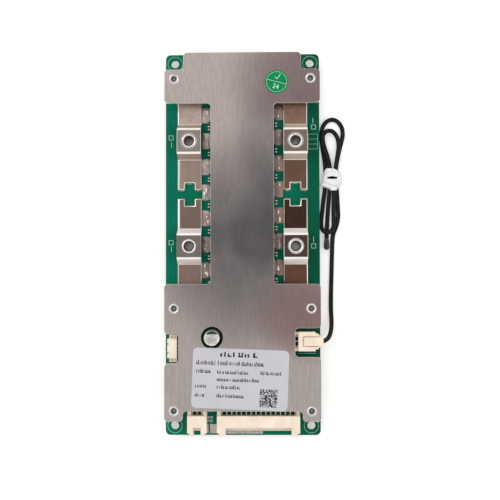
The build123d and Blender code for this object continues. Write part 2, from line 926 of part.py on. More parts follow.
def build_parts():
    """Every piece by its name, each a list of solids."""
    parts = {
        "circuit_board": [circuit_board()],
        "heat_spreader": [heat_spreader()],
        "spreader_standoffs": standoffs(),
        "spreader_screws": spreader_screws(),
        "thermal_pad_left": [thermal_pad(-1)],
        "thermal_pad_right": [thermal_pad(1)],
        "charge_mosfet_frames": mosfet_frames(-1),
        "battery_mosfet_frames": mosfet_frames(1),
        "bay_resistors": bay_resistors(),
        "gate_resistors": gate_resistors(),
        "current_shunts": current_shunts(),
        "clamp_diodes": clamp_diodes(),
        "gate_drivers": gate_drivers(),
        "monitor_chip": [flat_pack_chip(monitor_chip_spot, monitor_chip_size)],
        "control_chip": [flat_pack_chip(control_chip_spot, control_chip_size)],
        "chip_legs": chip_legs(),
        "balance_resistors": balance_resistors(),
        "balance_transistors": balance_transistors(),
        "regulator_inductor": [regulator_inductor()],
        "port_isolators": port_isolators(),
        "capacitor_base": [capacitor_base()],
        "capacitor_can": [capacitor_can()],
        "port_header": [port_place * port_header()],
        "port_pins": [port_place * pin for pin in port_pins()],
        "rating_label": [rating_label()],
        "inspection_sticker": [inspection_sticker()],
        "sensor_plug": [sensor_place * sensor_plug()],
        "sensor_lead": [sensor_lead()],
        "sensor_lead_hank": [sensor_lead_hank()],
        "sensor_lead_tail": [sensor_lead_tail()],
        "lead_tie": [lead_tie()],
        "thermistor_bead": [thermistor_bead()],
    }
    for name, level, place in terminal_spots():
        parts[f"{name}_terminal_{level}"] = [place * terminal_bar()]
        parts[f"{name}_nut_{level}"] = [place * terminal_nut()]
    for side, name in ((-1, "charge"), (1, "battery")):
        for number, place in enumerate(mosfet_spots(side), start=1):
            parts[f"{name}_mosfet_{number}"] = [place * mosfet_body()]
    roof_pin_reach = balance_roof_depth - pin_tip_setback
    for name, place, ways, roof_depth, leg_width, reach in (
        ("balance", balance_place, balance_ways, balance_roof_depth, balance_leg_width, roof_pin_reach),
        ("aux", aux_place, aux_ways, balance_roof_depth, aux_leg_width, roof_pin_reach),
        ("sensor", sensor_place, sensor_ways, sensor_roof_depth, sensor_leg_width, sensor_pin_reach),
    ):
        parts[f"{name}_header"] = [place * plug_header(ways, roof_depth, leg_width)]
        parts[f"{name}_pins"] = [place * pin for pin in header_pins(ways, reach)]
    return parts


os.makedirs("parts", exist_ok=True)
for part_name, solids in build_parts().items():
    shape = solids[0] if len(solids) == 1 else Compound(children=solids)
    export_step(shape, f"parts/{part_name}.step")
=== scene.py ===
import math
import random

import bmesh
import bpy
from mathutils import Matrix, Vector


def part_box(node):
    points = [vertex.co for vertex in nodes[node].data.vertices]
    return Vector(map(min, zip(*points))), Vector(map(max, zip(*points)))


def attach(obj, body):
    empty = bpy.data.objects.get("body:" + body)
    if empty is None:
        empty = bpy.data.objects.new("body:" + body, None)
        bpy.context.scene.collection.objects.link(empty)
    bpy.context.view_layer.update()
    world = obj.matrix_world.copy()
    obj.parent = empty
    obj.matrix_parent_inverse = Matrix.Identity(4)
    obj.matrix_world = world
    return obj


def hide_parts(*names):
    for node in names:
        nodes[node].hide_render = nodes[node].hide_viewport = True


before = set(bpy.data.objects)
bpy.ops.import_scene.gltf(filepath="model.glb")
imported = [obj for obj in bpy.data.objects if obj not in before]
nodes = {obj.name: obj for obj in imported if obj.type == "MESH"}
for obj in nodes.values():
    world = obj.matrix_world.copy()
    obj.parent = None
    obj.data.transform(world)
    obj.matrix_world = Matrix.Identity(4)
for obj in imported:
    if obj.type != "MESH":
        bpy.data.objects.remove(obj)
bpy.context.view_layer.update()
scene = bpy.context.scene
scene.view_settings.view_transform = "Standard"
mm = 0.001


# Camera. It looks straight down on the board from 43 cm, as the photograph does, with
# the small tilts that the board's outline gives.
camera_lens = 59.13
camera_place = Vector((12.3, -16.3, 430.6)) * mm
camera_tilt = (1.73, 1.15, -0.14)

camera_data = bpy.data.cameras.new("camera")
camera_data.lens = camera_lens
camera_data.sensor_width = 36.0
camera_data.clip_start = 0.01


def linked(name, data):
    """An object of the scene with this data. A shape is made its mesh, and freed."""
    if isinstance(data, bmesh.types.BMesh):
        shape, data = data, bpy.data.meshes.new(name)
        shape.to_mesh(data)
        shape.free()
    thing = bpy.data.objects.new(name, data)
    scene.collection.objects.link(thing)
    return thing


camera = linked("camera", camera_data)
camera.location = camera_place
camera.rotation_euler = [math.radians(angle) for angle in camera_tilt]
scene.camera = camera


# Sensor lead. It is a flat twin lead with a black jacket. It leaves the plug, drops to
# the surface that the board stands on, runs along the board and is folded into a hank.
lead_width = 2.3 * mm
lead_thickness = 1.2 * mm
lead_groove = 0.55 * mm
lead_points = [
    (41.2, -50.4, 7.3), (42.9, -50.0, 6.9), (44.8, -47.9, 5.2),
    (45.8, -44.6, 3.0), (46.1, -40.3, 1.1), (45.8, -34.2, 0.66),
    (45.9, -26.4, 0.66), (46.2, -16.8, 0.66), (46.4, -8.6, 0.66),
    (46.7, -1.0, 0.66), (47.0, 4.6, 0.66), (48.9, 8.9, 0.66),
    (50.0, 13.6, 0.66), (49.7, 19.4, 0.66), (49.3, 26.4, 1.1),
    (48.7, 33.2, 1.35), (48.8, 39.8, 1.2), (49.9, 45.6, 0.66),
    (51.3, 51.4, 0.66), (52.7, 56.6, 0.66), (52.1, 61.5, 0.66),
    (48.7, 65.2, 0.66), (44.5, 64.7, 0.66), (41.7, 61.1, 0.66),
    (41.2, 56.4, 0.66), (41.6, 51.6, 0.66), (42.6, 45.8, 0.66),
    (43.3, 39.8, 1.2), (43.5, 33.2, 1.35), (42.9, 27.0, 1.2),
    (42.1, 21.6, 0.66), (41.6, 16.8, 0.66), (41.0, 12.4, 0.8),
    (40.9, 8.1, 1.5), (42.7, 5.7, 2.1), (45.6, 5.7, 2.4),
    (47.4, 8.1, 2.3), (47.4, 12.8, 1.9), (47.4, 19.2, 1.6),
    (47.6, 25.0, 1.8), (47.8, 30.0, 2.65), (48.2, 36.4, 2.65),
    (48.9, 41.6, 2.3), (49.7, 46.2, 1.95), (50.3, 50.6, 1.95),
    (50.0, 54.0, 1.95), (48.9, 56.9, 1.9), (46.8, 59.0, 1.9),
    (44.0, 59.0, 1.95), (42.0, 57.0, 1.95), (41.9, 53.8, 1.95),
    (43.0, 49.6, 1.95), (44.6, 44.8, 1.95), (45.7, 39.6, 1.6),
    (45.8, 33.2, 1.35), (45.4, 27.0, 1.2), (44.8, 20.5, 0.66),
    (44.2, 12.5, 0.66), (43.9, 6.5, 0.7), (43.7, 3.6, 1.5),
    (43.7, 0.8, 1.55),
]


class Socket:
    """A shader socket. Arithmetic on it adds Math nodes to its tree."""

    def __init__(self, tree, link):
        self.tree = tree
        self.link = link

    def math(self, operation, *values):
        values = dict(enumerate(values or [self]))
        return self.tree.node("ShaderNodeMath", {"operation": operation}, values)

    def __add__(self, other):
        return self.math("ADD", self, other)

    __radd__ = __add__

    def __sub__(self, other):
        return self.math("SUBTRACT", self, other)

    def __rsub__(self, other):
        return self.math("SUBTRACT", other, self)

    def __mul__(self, other):
        return self.math("MULTIPLY", self, other)

    __rmul__ = __mul__

    def __truediv__(self, other):
        return self.math("DIVIDE", self, other)

    def step(self, low, high):
        """0 below low, 1 above high, and a soft step between them."""
        settings = {"interpolation_type": "SMOOTHSTEP"}
        inputs = {"Value": self, "From Min": low, "From Max": high}
        return self.tree.node("ShaderNodeMapRange", settings, inputs)


def set_stops(elements, stops):
    """Gives a ramp its stops of grey."""
    while len(elements) < len(stops):
        elements.new(0.5)
    for element, (position, grey) in zip(elements, stops):
        element.position = position
        element.color = (grey, grey, grey, 1)


class Tree:
    """The nodes of one material, or of the sky."""

    def __init__(self, node_tree):
        self.node_tree = node_tree

    def node(self, kind, settings, inputs, output=0):
        """Any node: its settings are set first, then its sockets take values or links."""
        made = self.node_tree.nodes.new(kind)
        for name, value in settings.items():
            if name == "stops":
                set_stops(made.color_ramp.elements, value)
            else:
                setattr(made, name, value)
        for name, value in inputs.items():
            self.join(made.inputs[name], value)
        return Socket(self, made.outputs[output])

    def join(self, socket, value):
        if isinstance(value, Socket):
            self.node_tree.links.new(value.link, socket)
        else:
            socket.default_value = value

    def mix(self, factor, first, second):
        inputs = {0: factor, 6: first, 7: second}
        return self.node("ShaderNodeMix", {"data_type": "RGBA"}, inputs, 2)


class Surface(Tree):
    """A finish: one material, made from plain values and sockets. A roughness of three
    numbers is its lowest value, its spread and the size of its grain in millimetres."""

    def __init__(self, name, roughness=0.5, metallic=0.0, **sockets):
        self.material = bpy.data.materials.new(name)
        self.material.use_nodes = True
        super().__init__(self.material.node_tree)
        self.shader = self.node_tree.nodes["Principled BSDF"]
        self.place = self.node("ShaderNodeTexCoord", {}, {}, "Object")
        if isinstance(roughness, tuple):
            low, spread, size = roughness
            roughness = low + spread * self.grain(size)
        self.set(roughness=roughness, metallic=metallic, **sockets)

    def set(self, **sockets):
        for name, value in sockets.items():
            name = name.replace("_", " ").title().replace("Ior", "IOR")
            self.join(self.shader.inputs[name], value)

    def axis(self, name):
        """One Object coordinate in millimetres."""
        return self.node("ShaderNodeSeparateXYZ", {}, {0: self.place}, name) * 1000.0

    def grain(self, size, detail=2.0, stretch=(1.0, 1.0, 1.0)):
        """Noise with this grain size in millimetres, longer where stretch is more than 1."""
        scale = tuple(1000.0 / size / length for length in stretch)
        place = self.node("ShaderNodeMapping", {}, {"Vector": self.place, "Scale": scale})
        inputs = {"Vector": place, "Scale": 1.0, "Detail": detail}
        return self.node("ShaderNodeTexNoise", {}, inputs)

    def clouded(self, cloud, dark, light, low=0.3, high=0.7):
        """Clouds of one screen colour in another, told apart between low and high."""
        return self.mix(cloud.step(low, high), tint(*dark), tint(*light))

    def mottled(self, cloud, dark, light):
        """An even blend of two screen colours."""
        return self.mix(cloud, tint(*dark), tint(*light))

    def uprightness(self):
        """1 where the surface faces straight up, and 0 on an upright side."""
        normal = self.node("ShaderNodeTexCoord", {}, {}, "Normal")
        return self.node("ShaderNodeSeparateXYZ", {}, {0: normal}, "Z")

    def relief(self, height, depth):
        """A bump whose height socket runs over this depth in millimetres."""
        inputs = {"Height": height, "Distance": depth * mm, "Strength": 1.0}
        return self.node("ShaderNodeBump", {}, inputs)

    def near(self, x, y, wide, tall):
        """1 at a spot in millimetres, falling softly to 0 at this far from it."""
        across = (self.axis("X") - x) / wide
        along = (self.axis("Y") - y) / tall
        return 1 - (across * across + along * along).step(0.0, 1.0)


def tint(red, green, blue):
    """A colour as it looks on screen, from 0 to 255, as the shader wants it."""
    screen = (channel / 255 for channel in (red, green, blue))
    linear = [c / 12.92 if c < 0.04045 else ((c + 0.055) / 1.055) ** 2.4 for c in screen]
    return (*linear, 1.0)


def add_piece(name, shape, surfaces, replaces=(), sharp_angle=35, even=False):
    """Makes a piece of the board from a finished shape or mesh, already in its place."""
    piece = linked(name, shape)
    for surface in surfaces:
        piece.data.materials.append(surface.material)
    piece.data.shade_smooth()
    piece.data.set_sharp_from_angle(angle=math.radians(sharp_angle))
    if even:
        shading = piece.modifiers.new("flat_faces_stay_flat", "WEIGHTED_NORMAL")
        shading.keep_sharp = True
    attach(piece, "root")
    if replaces:
        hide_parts(*replaces)
    return piece


lead_jacket = Surface("lead_jacket", specular_ior_level=0.2)
jacket_scuff = lead_jacket.grain(0.8, 3.0, (1.0, 3.0, 1.0)).step(0.45, 0.75)
lead_jacket.set(
    base_color=lead_jacket.mottled(jacket_scuff, (15, 14, 14), (36, 33, 33)),
    roughness=0.38 + 0.2 * jacket_scuff,
    normal=lead_jacket.relief(lead_jacket.grain(0.25), 0.02),
)


def settled(thing):
    """The finished mesh of an object, which is then removed."""
    bpy.context.view_layer.update()
    shown = thing.evaluated_get(bpy.context.evaluated_depsgraph_get())
    mesh = bpy.data.meshes.new_from_object(shown)
    bpy.data.objects.remove(thing)
    return mesh


def spline_mesh(name, points, bevel=None):
    """The mesh of a smooth curve on these points in millimetres, with this section."""
    curve = bpy.data.curves.new(name, "CURVE")
    curve.dimensions = "3D"
    curve.twist_mode = "Z_UP"
    curve.resolution_u = 10
    spline = curve.splines.new("NURBS")
    spline.points.add(len(points) - 1)
    for point, place in zip(spline.points, points):
        point.co = (*(Vector(place) * mm), 1.0)
    spline.order_u = 3
    spline.use_endpoint_u = True
    if bevel:
        curve.bevel_mode = "OBJECT"
        curve.bevel_object = bevel
        curve.use_fill_caps = True
    return settled(linked(name, curve))


lead_section = bpy.data.curves.new("lead_section", "CURVE")
lead_section.dimensions = "2D"
outline = lead_section.splines.new("POLY")
outline.use_cyclic_u = True
outline.points.add(23)
for index, point in enumerate(outline.points):
    angle = math.tau * index / len(outline.points)
    across = math.cos(angle) * lead_width / 2
    pinch = 1 - 0.3 * math.exp(-((across / (lead_groove / 2)) ** 2))
    height = abs(math.sin(angle)) ** 0.7 * lead_thickness / 2 * pinch
    point.co = (across, math.copysign(height, math.sin(angle)), 0, 1)
section_object = linked("lead_section", lead_section)

lead_mesh = spline_mesh("sensor_lead_jacket", lead_points, section_object)
lead_path = [vertex.co.copy() for vertex in spline_mesh("lead_line", lead_points).vertices]
bpy.data.objects.remove(section_object)
lead_nodes = ["sensor_lead", "sensor_lead_hank", "sensor_lead_tail"]
lead_piece = add_piece("sensor_lead_jacket", lead_mesh, [lead_jacket], lead_nodes)


# Sensor bead. The temperature sensor's chip is dipped in black resin at the end of the
# lead, which leaves a rounded drop with a short collar round the wires.
bead_low, bead_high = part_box("thermistor_bead")
bead_radius = (bead_high.x - bead_low.x) / 2
bead_reach = (bead_high.y - bead_low.y) / 2


def middle_of(node):
    """The middle of a node's box."""
    low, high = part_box(node)
    return (low + high) / 2


def edges_on(verts):
    """The edges on these vertices, each once."""
    return list(dict.fromkeys(edge for vert in verts for edge in vert.link_edges))


def faces_on(verts):
    """The faces on these vertices, each once."""
    return list(dict.fromkeys(face for vert in verts for face in vert.link_faces))


def add_turned(shape, profile, centre, steps=32, axis="Z"):
    """Spins a profile of (radius, height) points about an axis through the centre."""
    verts = [shape.verts.new((radius, 0, height)) for radius, height in profile]
    edges = [shape.edges.new(pair) for pair in zip(verts, verts[1:])]
    before = set(shape.verts) - set(verts)
    bmesh.ops.spin(
        shape, geom=verts + edges, cent=(0, 0, 0), axis=(0, 0, 1), angle=math.tau,
        steps=steps, use_merge=True,
    )
    verts = [vert for vert in shape.verts if vert not in before]
    bmesh.ops.remove_doubles(shape, verts=verts, dist=0.0005 * mm)
    verts = [vert for vert in verts if vert.is_valid]
    bmesh.ops.recalc_face_normals(shape, faces=faces_on(verts))
    turn = Matrix.Rotation(math.radians(90), 4, "X") if axis == "Y" else Matrix.Identity(4)
    bmesh.ops.transform(shape, matrix=Matrix.Translation(centre) @ turn, verts=verts)
    return verts


def arc(centre_radius, centre_height, radius, start, end, steps):
    """Profile points on an arc, its angles in degrees from the profile's own level."""
    angles = [math.radians(start + (end - start) * index / steps) for index in range(steps + 1)]
    return [
        (centre_radius + radius * math.cos(angle), centre_height + radius * math.sin(angle))
        for angle in angles
    ]


bead_resin = Surface(
    "bead_resin", (0.2, 0.15, 0.7), base_color=tint(14, 14, 15), coat_weight=0.3,
    specular_ior_level=0.4,
)
bead_resin.set(normal=bead_resin.relief(bead_resin.grain(1.2, 1.0), 0.08))
bead = bmesh.new()
bead_profile = arc(0.0, bead_reach - bead_radius, bead_radius, 90, 0, 8)
bead_profile += [
    (bead_radius * 0.97, 0.0),
    (bead_radius * 0.86, -bead_reach * 0.5),
    (bead_radius * 0.72, -bead_reach * 0.84),
    (bead_radius * 0.6, -bead_reach),
    (0.0, -bead_reach),
]
add_turned(bead, bead_profile, middle_of("thermistor_bead"), 28, "Y")
bead_piece = add_piece("sensor_bead_drop", bead, [bead_resin], ["thermistor_bead"])


# Tie round the hank. A strip of white cloth tape is wound tightly over the four runs of
# lead. It is crumpled into creases, and its ends leave a dark slit between them on top.
tape_thickness = 0.18 * mm
tape_low, tape_high = 0.12, 4.65
tape_middle = Vector((46.3, 33.3))
tape_rows = 44
tape_columns = 112
slit_x = 46.6
slit_centre = Vector((slit_x, 34.1)) * mm
slit_half = Vector((2.7, 0.62)) * mm
slit_floor = 2.5 * mm
slit_lip = (34.9, 7, 0.6)
slit_dip = (33.7, 9, 0.7)
tape_squareness = (0.6, 0.75)
tape_underside, tape_half, tape_swell = 0.2, 1.85, 0.25
crumple_height, lip_height, dip_depth, side_crumple = 0.85, 0.5, 0.3, 0.2
crease_count = 13
tape_sides = [
    (27.5, 45.9, 48.6), (28.5, 44.7, 49.9), (29.4, 42.2, 50.6), (30.2, 40.1, 51.1),
    (31.2, 40.9, 51.5), (33.5, 41.7, 52.0), (35.4, 42.0, 51.6), (36.9, 42.3, 50.9),
    (38.1, 42.7, 49.5), (39.0, 43.5, 47.9),
]

tie_tape = Surface("tie_tape")
thread_x = (tie_tape.axis("X") * 14.0).math("SINE")
thread_y = (tie_tape.axis("Y") * 14.0).math("SINE")
tape_cloud = tie_tape.grain(2.2, 3.0)
# Faces that tilt away from straight up get a greyer, bluer colour: painted shade in the tape's
# folds.
unshaded_tape_top = tie_tape.uprightness().step(0.45, 0.97)
tape_shade = tie_tape.clouded(tape_cloud, (226, 226, 232), (243, 242, 242))
tie_tape.set(
    base_color=tie_tape.mix(unshaded_tape_top, tint(196, 197, 208), tape_shade),
    roughness=0.7 + 0.2 * tape_cloud,
    normal=tie_tape.relief(thread_x * thread_y * 0.1 + tape_cloud * 0.5, 0.12),
)
folds = random.Random(8)
creases = []
for _ in range(crease_count):
    lean = math.radians(folds.uniform(-70, 70))
    normal = Vector((math.sin(lean), math.cos(lean)))
    offset, reach = folds.uniform(-4.0, 4.0), folds.uniform(0.5, 1.3)
    creases.append((normal, offset, reach, folds.uniform(-0.6, 0.6)))
creases.append((Vector((-0.5, 0.87)), 3.1, 0.7, 1.0))
creases.append((Vector((0.35, 0.94)), -2.9, 0.6, -0.9))


def tape_limits(y):
    """The left and right side of the tie at this y, all in millimetres."""
    for (y0, left0, right0), (y1, left1, right1) in zip(tape_sides, tape_sides[1:]):
        if y <= y1:
            share = max(0.0, (y - y0) / (y1 - y0))
            return left0 + (left1 - left0) * share, right0 + (right1 - right0) * share
    return tape_sides[-1][1:]


def ridge(x, y, crest, wide, tall):
    """1 on a crest along the slit, falling softly to 0, all in millimetres."""
    return math.exp(-((x - slit_x) ** 2) / wide) * math.exp(-(((y - crest) / tall) ** 2))


tape = bmesh.new()
ring = bmesh.ops.create_circle(tape, cap_ends=False, radius=1.0, segments=tape_columns)["verts"]
edges = edges_on(ring)
for _ in range(tape_rows):
    made = bmesh.ops.extrude_edge_only(tape, edges=edges)["geom"]
    moved = [part for part in made if isinstance(part, bmesh.types.BMVert)]
    bmesh.ops.translate(tape, verts=moved, vec=(0, 0, 1 / tape_rows))
    edges = [part for part in made if isinstance(part, bmesh.types.BMEdge)]
for vert in tape.verts:
    cosine, sine, along = vert.co
    across = math.copysign(abs(cosine) ** tape_squareness[0], cosine)
    rise = math.copysign(abs(sine) ** tape_squareness[1], sine)
    waist = math.sin(math.pi * along)
    y = tape_sides[0][0] + (tape_sides[-1][0] - tape_sides[0][0]) * along
    left, right = tape_limits(y)
    x = (left + right) / 2 + across * (right - left) / 2
    top = max(0.0, rise)
    spot = Vector((x, y)) - tape_middle
    crumple = sum(
        height * max(0.0, 1 - abs(normal.dot(spot) - offset) / reach)
        for normal, offset, reach, height in creases
    )
    lip, dip = ridge(x, y, *slit_lip), ridge(x, y, *slit_dip)
    relief = top * (crumple_height * crumple + lip_height * lip - dip_depth * dip)
    z = tape_underside + (tape_half + tape_swell * waist) * (1 + rise) + relief
    x += side_crumple * crumple * across * (1 - abs(rise))
    vert.co = Vector((x, y, min(max(z, tape_low), tape_high))) * mm
slit_faces = []
for face in tape.faces:
    away = face.calc_center_median() - slit_centre.to_3d()
    lens = slit_half.y * max(0.0, 1 - (away.x / slit_half.x) ** 2) ** 0.25
    bend = 0.05 * (away.x / slit_half.x) ** 2 * mm
    if abs(away.x) < slit_half.x and abs(away.y + bend) < lens and away.z > slit_floor:
        slit_faces.append(face)
bmesh.ops.delete(tape, geom=slit_faces, context="FACES")
bmesh.ops.smooth_vert(
    tape, verts=tape.verts, factor=0.25, use_axis_x=True, use_axis_y=True, use_axis_z=True
)
bmesh.ops.recalc_face_normals(tape, faces=tape.faces)
bmesh.ops.solidify(tape, geom=tape.faces, thickness=tape_thickness)
tape_piece = add_piece("hank_tape", tape, [tie_tape], ["lead_tie"], 55)


# Sensor plug. It is moulded in cream nylon, with a latch tongue along its top, and fills
# the header at the board's right edge.
sharp_turn = math.radians(32)

cream_nylon = Surface("cream_nylon", (0.38, 0.12, 0.6))
cream_nylon.set(
    base_color=cream_nylon.clouded(cream_nylon.grain(6.0), (238, 219, 199), (247, 232, 215)),
    normal=cream_nylon.relief(cream_nylon.grain(0.12), 0.006),
)


def merged_copy(node):
    """A copy of a node's shape with its triangles joined into whole faces."""
    shape = bmesh.new()
    shape.from_mesh(nodes[node].data)
    bmesh.ops.remove_doubles(shape, verts=shape.verts, dist=0.001 * mm)
    bmesh.ops.dissolve_limit(
        shape, angle_limit=math.radians(0.5), verts=shape.verts, edges=shape.edges
    )
    return shape


def round_edges(shape, edges, width, segments):
    """Rounds these edges of a shape."""
    bmesh.ops.bevel(
        shape, geom=edges, offset=width, affect="EDGES", segments=segments, profile=0.5,
        material=-1, clamp_overlap=True,
    )


def softened_node(name, node, width, surface, segments=2):
    """A CAD piece with the small edge rounds that its moulding or stamping leaves."""
    shape = merged_copy(node)
    closed = [edge for edge in shape.edges if edge.is_manifold]
    sharp = [edge for edge in closed if edge.calc_face_angle(0) > sharp_turn]
    round_edges(shape, sharp, width, segments)
    return add_piece(name, shape, [surface], [node], 40, True)


plug_piece = softened_node(
    "sensor_plug_moulding", "sensor_plug", 0.14 * mm, cream_nylon
)


# Circuit board. It is glass laminate 2 mm thick with copper on both faces under a deep
# green solder mask, routed to its outline with the bare laminate on its edges.
board_bottom, board_top = (corner.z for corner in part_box("circuit_board"))
# The green darkens towards the board's right edge: painted shadow, with a random cloud of tone
# mixed in.
mask_left = tint(3, 114, 88)
mask_painted_shadow = tint(3, 82, 58)
mask_gap = tint(2, 74, 54)
laminate = tint(150, 158, 104)
copper_areas = [(-27.8, 25.5, 9.6, 54.0), (27.8, 25.5, 9.6, 54.0), (0, 25.5, 16.6, 54.0)]
copper_areas += [(-18.6, -57.5, 18.8, 26.0), (20.4, -57.5, 17.0, 26.0)]

solder_mask = Surface("solder_mask", specular_ior_level=0.08)
board_height = solder_mask.axis("Z")
cut_edge = board_height.step(board_bottom / mm + 0.04, board_bottom / mm + 0.09) * (
    1 - board_height.step(board_top / mm - 0.09, board_top / mm - 0.04)
)
pour_gap = 0
for x, y, half_wide, half_tall in copper_areas:
    beyond_x = (solder_mask.axis("X") - x).math("ABSOLUTE") - half_wide
    beyond_y = (solder_mask.axis("Y") - y).math("ABSOLUTE") - half_tall
    beyond = beyond_x.math("MAXIMUM", beyond_x, beyond_y).math("ABSOLUTE")
    pour_gap = pour_gap + (1 - beyond.step(0.1, 0.2))
copper_cloud = solder_mask.grain(14.0).step(0.3, 0.7)
right_shadow_and_cloud = solder_mask.axis("X").step(22.0, 38.0) * 0.85 + 0.25 * copper_cloud
green_clouds_and_painted_shadow = solder_mask.mix(right_shadow_and_cloud, mask_left, mask_painted_shadow)
mask_shade = solder_mask.mix(pour_gap * 0.5, green_clouds_and_painted_shadow, mask_gap)
solder_mask.set(
    base_color=solder_mask.mix(cut_edge, mask_shade, laminate),
    roughness=0.28 + 0.1 * solder_mask.grain(2.0) + 0.4 * cut_edge,
    normal=solder_mask.relief(solder_mask.grain(0.5, 1.0) * 0.2 - pour_gap, 0.02),
)


def finish_node(node, surface):
    """Gives this finish to a CAD piece that is shown as it is."""
    nodes[node].data.materials.clear()
    nodes[node].data.materials.append(surface.material)


finish_node("circuit_board", solder_mask)


# Printed marks on the board. White ink is screen printed over the mask: rings round the
# four corner holes, dashes and plain boxes by the terminals, and plain lines.
ink_height = 0.03 * mm
hole_x = 35.2 * mm
hole_y = 94.05 * mm
hole_ring = (3.64 * mm, 3.82 * mm)
ink_line, dash_length, box_half = 0.3, 2.8, 1.1
dashes = [(-37.1, 51.6), (-37.1, -2.9), (36.7, 64.0), (36.8, 2.0)]
plain_boxes = [(-37.3, 55.3), (-37.3, 0.5), (37.0, 60.6), (36.8, -1.4)]
plain_lines = [(x, 53.0, 0.14, 7.8) for x in (34.3, 39.1)]
plain_lines += [(36.7, y, 4.8, 0.14) for y in (49.1, 51.7, 54.3, 56.9)]
plain_lines += [(33.0, -56.9, 9.6, 0.2), (-17.1, -91.2, 0.18, 3.4)]

print_white = Surface("print_white", (0.5, 0.2, 0.4), base_color=tint(172, 214, 196))


def add_block(shape, centre, size, bevel=0.0, turn=0.0, segments=2):
    """A block with rounded edges, turned about Z, joined into a shape."""
    place = Matrix.Translation(centre) @ Matrix.Rotation(turn, 4, "Z")
    made = bmesh.ops.create_cube(shape, size=1.0, matrix=place @ Matrix.Diagonal((*size, 1.0)))
    if bevel:
        round_edges(shape, edges_on(made["verts"]), bevel, segments)


def add_mark(shape, x, y, width, length, level, turn=0.0, thickness=ink_height):
    """A flat printed bar on a level, its centre and size in millimetres."""
    centre = (x * mm, y * mm, level + thickness / 2)
    add_block(shape, centre, (width * mm, length * mm, thickness), 0.0, turn)


def add_ring(shape, x, y, inner, outer, level, thickness=ink_height, steps=48):
    """A flat printed ring on a level, its centre and radii in metres."""
    profile = [(inner, 0), (outer, 0), (outer, thickness), (inner, thickness), (inner, 0)]
    add_turned(shape, profile, (x, y, level), steps)


marks = bmesh.new()
for x in (-hole_x, hole_x):
    for y in (-hole_y, hole_y):
        for level in (board_top, board_bottom - ink_height):
            add_ring(marks, x, y, *hole_ring, level)
for x, y in dashes:
    add_mark(marks, x, y, ink_line, dash_length, board_top)
for x, y in plain_boxes:
    for reach in (-box_half, box_half):
        add_mark(marks, x, y + reach, 2 * box_half + ink_line, ink_line, board_top)
        add_mark(marks, x + reach, y, ink_line, 2 * box_half, board_top)
for line in plain_lines:
    add_mark(marks, *line, board_top)
add_piece("board_print", marks, [print_white])


# Tinned pads and through-plated holes. Bare copper is levelled with tin beside the
# headers, along the board's lower edge, under the nuts and at the underside's vias.
pad_height = 0.05 * mm
edge_pads = [(-15.3, -95.6, 3.6, 4.7), (-18.3, -95.6, 0.8, 4.6), (0.7, -97.5, 19.0, 1.3)]
landing_radius = 3.2 * mm
pad_ring = (0.2 * mm, 0.6 * mm)
via_ring = (0.12 * mm, 0.24 * mm)

tinned_metal = Surface("tinned_metal", (0.26, 0.2, 1.6), 1.0)
tin_flow = tinned_metal.grain(1.6)
tinned_metal.set(
    base_color=tinned_metal.clouded(tin_flow, (192, 182, 176), (218, 212, 206)),
    normal=tinned_metal.relief(tin_flow, 0.04),
)
bays = ("charge", "battery")
terminals = [f"{bay}_terminal_{level}" for bay in bays for level in ("upper", "lower")]

pads = bmesh.new()
for x, y, width, length in edge_pads:
    add_mark(pads, x, y, width, length, board_top, 0, pad_height)
for x in (-18.0, -16.2):
    for y in (-89.8, -91.6):
        add_ring(pads, x * mm, y * mm, *pad_ring, board_top, pad_height, 20)
vias = [(x, y) for x in (-38.6, 38.6) for y in range(-76, 88, 12)]
vias += [(x, y) for x in (-23.5, 23.5) for y in (25.0, 26.2)]
for x, y in vias:
    add_ring(pads, x * mm, y * mm, *via_ring, board_bottom - pad_height, pad_height, 12)
landing = [(0.0, 0.0), (landing_radius, 0.0), (landing_radius, pad_height), (0.0, pad_height)]
for terminal in terminals:
    add_turned(pads, landing, (*middle_of(terminal).xy, board_top))
add_piece("tinned_pads", pads, [tinned_metal])


# Heat spreader. It is aluminium sheet 2 mm thick, punched to its outline and brushed
# along its length, with a slight round on the punched edges.
# The darker middle is a painted reflection, not the metal's own tone.
dark_reflection_spots = [(0.78, 0, 0, 56, 64), (0.42, 16, 54, 24, 34), (0.25, 14, 8, 24, 30)]
dark_reflection_spots += [(0.12, 0, 3, 60, 12)]

spreader_metal = Surface("spreader_metal", metallic=1.0)
fine_brush = spreader_metal.grain(0.4, 3.0, (1.0, 12.0, 1.0))
long_brush = spreader_metal.grain(1.1, stretch=(1.0, 14.0, 1.0))
brush = fine_brush * 0.65 + long_brush * 0.35
handling = spreader_metal.grain(18.0, 3.0, (1.0, 1.6, 1.0)).step(0.3, 0.8)
dark_reflection_share = sum(spreader_metal.near(*spot) * share for share, *spot in dark_reflection_spots)
plate_shade = spreader_metal.mottled(dark_reflection_share, (204, 192, 186), (106, 103, 106))
# In turn: a darker top right and a darker patch right of the lower part, both painted reflections;
# a random cloud; the brushed streaks; and a painted highlight on every face that does not face up,
# such as the rounded edges.
for share, shade in (
    (spreader_metal.near(38, 84, 50, 40) * 0.9, (138, 118, 118)),
    (spreader_metal.near(34, -38, 34, 26) * 0.75, (146, 108, 105)),
    (handling * 0.15, (176, 164, 160)),
    (brush.step(0.4, 0.62) * 0.16, (52, 48, 47)),
    (1 - spreader_metal.uprightness().step(0.9, 0.97), (244, 232, 222)),
):
    plate_shade = spreader_metal.mix(share, plate_shade, tint(*shade))
spreader_metal.set(
    base_color=plate_shade,
    roughness=0.34 + 0.1 * brush + 0.05 * handling,
    normal=spreader_metal.relief(brush, 0.012),
)
softened_node("spreader_sheet", "heat_spreader", 0.26 * mm, spreader_metal)


# Standoffs. Six steel standoffs are pressed into the plate from below, so that each
# shows as a bright crowned ring round the end of its thread.
plate_bottom, plate_top = (corner.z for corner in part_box("heat_spreader"))
standoff_hex = 2.8 * mm
standoff_shank = 2.6 * mm
standoff_bore = 1.3 * mm
crown_middle = 2.08 * mm
crown_round = 0.5 * mm
thread_depth = 0.15 * mm
standoff_pitch = 0.5 * mm

